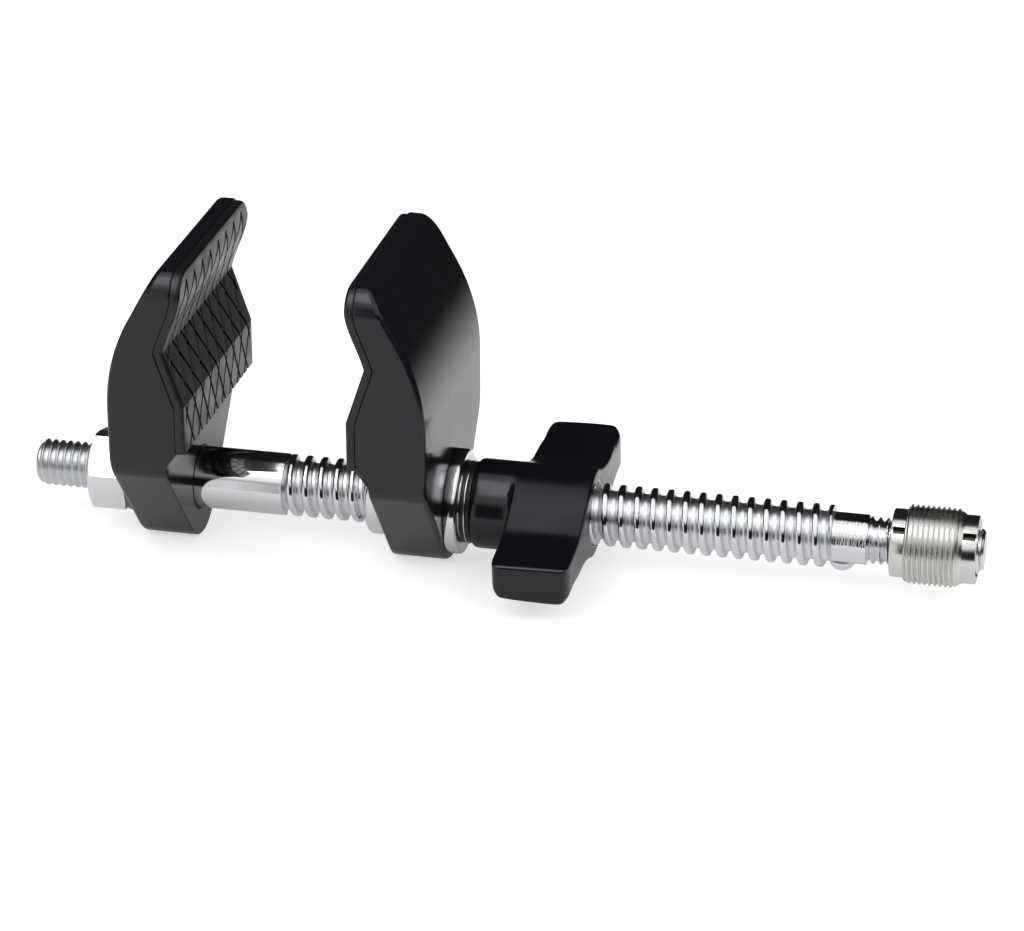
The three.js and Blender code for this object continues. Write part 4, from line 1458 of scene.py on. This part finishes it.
def upright_hole(name, x, radius):
    """A cutter from below a jaw up to the rod's axis."""
    return turned_upright(name, x, [(jaw_bottom - 2 * overrun, radius + pin_clearance),
                                    (0, radius + pin_clearance)])


fixed_jaw = make_jaw("fixed", "fixed_jaw_cast")
combine(fixed_jaw, turned("fixed_bore", [
    (fixed_back - overrun, stud_radius + bore_chamfer + overrun),
    (fixed_back + bore_chamfer, washer_bore), (shoulder_x - shoulder_gap, washer_bore),
    (shoulder_x - shoulder_gap, shank_bore), (fixed_front - bore_chamfer, shank_bore),
    (fixed_front + overrun, rod_radius + bore_chamfer + overrun)]), "DIFFERENCE")
combine(fixed_jaw, upright_hole("pin_hole", pin_x, pin_radius), "DIFFERENCE")
finish(fixed_jaw, jaw_paint, "rod", "jaw_paint", "fixed_jaw")
even_shading(fixed_jaw)

# %% [markdown]
# The moving jaw is the same casting, turned to face the fixed one. It has one wide bore, for the
# bush that guides it on the rod, and a hole below for the guide screw.

# %% Moving jaw
bush_fit = 0.02 * mm
moving_front = grip_x["moving"] + recess_depth
moving_back = grip_x["moving"] + jaw_depth

moving_jaw = make_jaw("moving", "moving_jaw_cast")
combine(moving_jaw, turned("moving_bore", [
    (moving_front - overrun, bush_radius + bore_chamfer + overrun),
    (moving_front + bore_chamfer, bush_radius + bush_fit),
    (moving_back + overrun, bush_radius + bush_fit)]), "DIFFERENCE")
combine(moving_jaw, upright_hole("guide_hole", guide_x, guide_radius), "DIFFERENCE")
finish(moving_jaw, jaw_paint, "sliding_jaw", "jaw_paint", "moving_jaw")
even_shading(moving_jaw)

# %% [markdown]
# The rubber pads are moulded with a net of raised diamonds. The net is a flat grid turned by 45
# degrees and stretched, so that each square becomes a diamond. Every face is inset by itself and
# raised, which leaves a groove between neighbours.

# %% A net of diamonds
pad_top_drop = 0.5 * mm
pad_top = jaw_top - pad_top_drop
diamond_width = 6.8 * mm
diamond_height = 13.5 * mm
diamond_cells = 16
groove_half = 0.26 * mm
groove_wall = 0.16 * mm
groove_depth = 0.9 * mm
diamond_round = 0.14 * mm
diamond_round_rise = 0.3 * diamond_round
net_height = groove_depth + diamond_round_rise


def diamond_net(name, outwards):
    """Raised diamonds in an upright sheet at x = 0; leaves it in edit mode."""
    middle = (pad_low + pad_top) / 2
    select_nothing()
    bpy.ops.mesh.primitive_grid_add(x_subdivisions=diamond_cells, y_subdivisions=diamond_cells,
                                    size=diamond_cells, rotation=(0, 0, math.pi / 4))
    settle(name)
    bpy.ops.transform.resize(value=(diamond_height / math.sqrt(2), diamond_width / math.sqrt(2), 1))
    bpy.ops.transform.rotate(value=-math.pi / 2, orient_axis="Y", center_override=(0, 0, 0))
    pad = settle(name)
    edit(pad, "FACE")
    bpy.ops.mesh.select_all(action="SELECT")
    bpy.ops.transform.translate(value=(0, 0, middle))
    # only the diamonds that touch the pad are kept
    pick(pad, lambda place: abs(place.y) > jaw_half_width + diamond_width
         or abs(place.z - middle) > (pad_top - pad_low) / 2 + diamond_height, "polygons")
    bpy.ops.mesh.delete(type="FACE")
    bpy.ops.mesh.select_all(action="SELECT")
    bpy.ops.mesh.inset(thickness=groove_half, use_individual=True)
    bpy.ops.mesh.inset(thickness=groove_wall, use_individual=True)
    bpy.ops.transform.translate(value=(outwards * groove_depth, 0, 0))
    bpy.ops.mesh.inset(thickness=diamond_round, use_individual=True)
    bpy.ops.transform.translate(value=(outwards * diamond_round_rise, 0, 0))
    return pad


# %% [markdown]
# A plain rim frames the net at its top and sides. Bisects draw the rim's border across the
# diamonds, and all that lies outside it is raised flush. The sheet is then cut to a rectangle that
# is a little too large, and extruded backwards to get its flat back.

# %% Rim and back of a pad
rim_side = 2.6 * mm
rim_top = 2.9 * mm
rim_wall = 0.25 * mm
pad_gap = 0.05 * mm
pad_spare = 1 * mm
rim_edge = 0.01 * mm


def cut_line(place, normal, remove=False):
    bpy.ops.mesh.select_all(action="SELECT")
    bpy.ops.mesh.bisect(plane_co=place, plane_no=normal, clear_outer=remove,
                        threshold=bisect_snap)


def raise_rim(pad, outwards):
    side = jaw_half_width - rim_side
    top = pad_top - rim_top
    for y_way in (1, -1):
        for from_middle in (side, side + rim_wall):
            cut_line((0, y_way * from_middle, 0), (0, y_way, 0))
    for height in (top, top + rim_wall):
        cut_line((0, 0, height), (0, 0, 1))
    pick(pad, lambda place: abs(place.y) > side + rim_wall - rim_edge
         or place.z > top + rim_wall - rim_edge)
    bpy.ops.transform.resize(value=(0, 1, 1), center_override=(outwards * net_height, 0, 0))


def trim_and_thicken(base, outwards):
    cut_line((0, 0, pad_low), (0, 0, -1), remove=True)
    cut_line((0, 0, pad_top + pad_spare), (0, 0, 1), remove=True)
    for y_way in (1, -1):
        cut_line((0, y_way * (jaw_half_width + pad_spare), 0), (0, y_way, 0), remove=True)
    bpy.ops.mesh.select_all(action="SELECT")
    bpy.ops.mesh.extrude_region_move(
        TRANSFORM_OT_translate={"value": (-outwards * pad_thickness, 0, 0)})
    back = outwards * (net_height - pad_thickness + pad_gap)
    bpy.ops.transform.resize(value=(0, 1, 1), center_override=(back, 0, 0))
    bpy.ops.mesh.select_all(action="SELECT")
    bpy.ops.transform.translate(value=(base - outwards * net_height, 0, 0))


# %% [markdown]
# The pad's outline is the jaw's own, a little lower at the top. The solid that trims it starts at
# the gripping face, and its edge there is bevelled first, which rounds the pad's edge all the way.
# Last, the flat pad is folded into the notch: it is cut across at each fold, and every vertex moves
# back by the notch's depth at its height.

# %% Pads
pad_round = 1.1 * mm
pad_round_steps = 5
trim_before = 0.005 * mm
pad_folds = 8
pad_weld = 0.001 * mm
pad_crease_degrees = 16


def make_pad(which, name):
    base, turn = grip_x[which], facing[which]
    outwards = -turn
    pad = diamond_net(name, outwards)
    raise_rim(pad, outwards)
    trim_and_thicken(base, outwards)
    bpy.ops.object.mode_set(mode="OBJECT")
    merge_and_face_out(pad)
    outline = rod_view(which, pad_top, trim_before)
    edit(outline, "EDGE")
    pick(outline, lambda place: turn * (place.x - base) < rim_edge, "edges")
    bpy.ops.mesh.bevel(offset=pad_round, segments=pad_round_steps, affect="EDGES",
                       clamp_overlap=False)
    bpy.ops.object.mode_set(mode="OBJECT")
    combine(pad, outline, "INTERSECT")
    edit(pad)
    for z in [notch_low] + steps_between(notch_middle, notch_high, pad_folds):
        cut_line((0, 0, z), (0, 0, 1))
    bpy.ops.object.mode_set(mode="OBJECT")
    for vertex in pad.data.vertices:
        vertex.co.x += turn * notch(vertex.co.z)
    merge_and_face_out(pad, pad_weld)
    return pad


fixed_pad = make_pad("fixed", "fixed_jaw_pad_net")
finish(fixed_pad, rubber, "rod", "pad_rubber", "fixed_jaw_pad", angle=pad_crease_degrees)
even_shading(fixed_pad)
moving_pad = make_pad("moving", "moving_jaw_pad_net")
finish(moving_pad, rubber, "sliding_jaw", "pad_rubber", "moving_jaw_pad",
       angle=pad_crease_degrees)
even_shading(moving_pad)

# %% [markdown]
# The wing handle is a die casting, and every join in it flows. So it starts as a coarse cage of
# 16 sides, which a Subdivision Surface will round. Loops near the edges hold the shape firm. The
# cage is a little larger than the hub, because the surface shrinks as it is rounded.

# %% Cage of the handle
hub_x = handle_low.x
handle_end = handle_high.x
wing_x = 127.7 * mm
hub_radius = 11.5 * mm
cage_sides = 16
cage_growth = 1.026
cage_radius = hub_radius * cage_growth
hub_mouth_radius = 0.80 * cage_radius
end_mouth_radius = 0.70 * cage_radius
hub_chamfer = 0.4 * mm
hub_edge_loop = 0.8 * mm
hub_loop = 2.6 * mm
before_wing_loop = 2.4 * mm
side_loop = 1.5 * mm

handle = turned("handle", [
    (hub_x, hub_mouth_radius), (hub_x, cage_radius - hub_chamfer),
    (hub_x + hub_edge_loop, cage_radius), (hub_x + hub_loop, cage_radius),
    (wing_x - before_wing_loop, cage_radius), (wing_x, cage_radius),
    (wing_x + side_loop, cage_radius), (handle_end - side_loop, cage_radius),
    (handle_end, cage_radius), (handle_end, end_mouth_radius)], segments=cage_sides)
print("cage faces:", len(handle.data.polygons))

# %% [markdown]
# The faces that look to the front and to the rear are pulled out into wings. One face of each wing
# comes off the hub in a long slope and the other in a short fillet, so five faces are pulled, two
# beyond the middle on the fillet's side and three on the other. Each station sets how far out the
# wing has come and how thick it is there.

# %% Wings
wing_reach = 35.3 * mm
fillet_side_degrees = 45
slope_side_degrees = 67.5
hub_faces_share = 0.9
# reach, height of the sloped face, height of the other face, how much shorter along the rod
wing_stations = [
    (13.0 * mm, 7.9 * mm, 6.5 * mm, 0), (17.5 * mm, 6.5 * mm, 5.3 * mm, 0),
    (22.0 * mm, 4.95 * mm, 5.1 * mm, 0), (28.0 * mm, 5.1 * mm, 5.1 * mm, 0),
    (31.8 * mm, 5.4 * mm, 5.4 * mm, 0), (33.7 * mm, 5.5 * mm, 5.5 * mm, 0.5 * mm),
    (wing_reach, 5.3 * mm, 5.3 * mm, 2.2 * mm)]
wing_length = handle_end - wing_x
tip_inset = 1.6 * mm


def pull_wing(side):
    """In edit mode, pulls the faces of one side of the hub out through the stations."""
    def on_wing(place):
        from_middle = math.degrees(math.atan2(-side * place.z, side * place.y))
        return (wing_x < place.x < handle_end
                and math.hypot(place.y, place.z) > hub_faces_share * cage_radius
                and -fillet_side_degrees < from_middle < slope_side_degrees)

    pick(handle, on_wing, "polygons")
    reach = cage_radius * math.cos(math.radians(fillet_side_degrees))
    slope = cage_radius * math.sin(math.radians(slope_side_degrees))
    fillet = cage_radius * math.sin(math.radians(fillet_side_degrees))
    shorter = 0
    for next_reach, next_slope, next_fillet, next_shorter in wing_stations:
        bpy.ops.mesh.extrude_region_move(
            TRANSFORM_OT_translate={"value": (0, side * (next_reach - reach), 0)})
        along = (wing_length - next_shorter) / (wing_length - shorter)
        thicker = (next_slope + next_fillet) / (slope + fillet)
        bpy.ops.transform.resize(value=(along, 0, thicker), center_override=(
            (wing_x + handle_end) / 2, side * next_reach, -side * (slope - fillet) / 2))
        shift = (next_slope - next_fillet - slope + fillet) / 2
        bpy.ops.transform.translate(value=(0, 0, -side * shift))
        reach, slope, fillet, shorter = next_reach, next_slope, next_fillet, next_shorter
    bpy.ops.mesh.inset(thickness=tip_inset)


# %% [markdown]
# The two long corners on the side of the fillet are rounder than the others. A rounded cage
# follows its vertices, so moving those corners in a little is enough.

# %% Corners of the wings
corner_start = 27 * mm
corner_height = 4.6 * mm
corner_length = 2.4 * mm
corner_edge = 0.6 * mm
corner_tip = 0.1 * mm
corner_in_along = 1.0 * mm
corner_in_up = 0.7 * mm


def move_corners_in(side):
    bpy.ops.mesh.select_mode(type="VERT")
    for edge_x, inwards in ((wing_x, 1), (handle_end, -1)):
        def in_corner(place):
            from_edge = abs(place.x - edge_x)
            return (side * place.y > corner_start and side * place.z > corner_height
                    and from_edge < corner_length
                    and (from_edge < corner_edge or side * place.y > wing_reach - corner_tip))

        pick(handle, in_corner)
        bpy.ops.transform.translate(value=(inwards * corner_in_along, 0, -side * corner_in_up))
    bpy.ops.mesh.select_mode(type="FACE")


edit(handle, "FACE")
for side in (1, -1):
    pull_wing(side)
    move_corners_in(side)
bpy.ops.object.mode_set(mode="OBJECT")
merge_and_face_out(handle)

# %% [markdown]
# Now the cage is rounded. The wings grow a little thinner towards the jaw, so that the casting
# leaves its mould, and the whole handle is tilted to where it stands at rest. The bore is cut
# afterwards, so that it stays truly round.

# %% Handle
handle_levels = 3
wing_draft_share = 0.1
wing_tilt_degrees = 7.7
handle_fit = 0.01 * mm
nose_fit = 0.03 * mm
hub_bore_chamfer = 0.5 * mm
mouth = 0.75 * mm

apply_modifier(handle, "SUBSURF", levels=handle_levels, render_levels=handle_levels)
for vertex in handle.data.vertices:
    out_share = min(max((abs(vertex.co.y) - hub_radius) / (wing_reach - hub_radius), 0), 1)
    left_share = min(max((handle_end - vertex.co.x) / wing_length, 0), 1)
    vertex.co.z *= 1 - wing_draft_share * out_share * left_share
handle.rotation_euler = (math.radians(wing_tilt_degrees), 0, 0)
select_only(handle)
handle = settle("handle")
handle_bore = insert_radius + handle_fit
nose_bore = insert_nose + nose_fit
combine(handle, turned("handle_bore", [
    (hub_x - overrun, insert_radius + hub_bore_chamfer + overrun),
    (hub_x + hub_bore_chamfer, handle_bore), (handle_end - mouth, handle_bore),
    (handle_end - mouth, nose_bore), (handle_end + overrun, nose_bore)]), "DIFFERENCE")
finish(handle, handle_paint, "handle", "handle_paint", "wing_handle", angle=40)
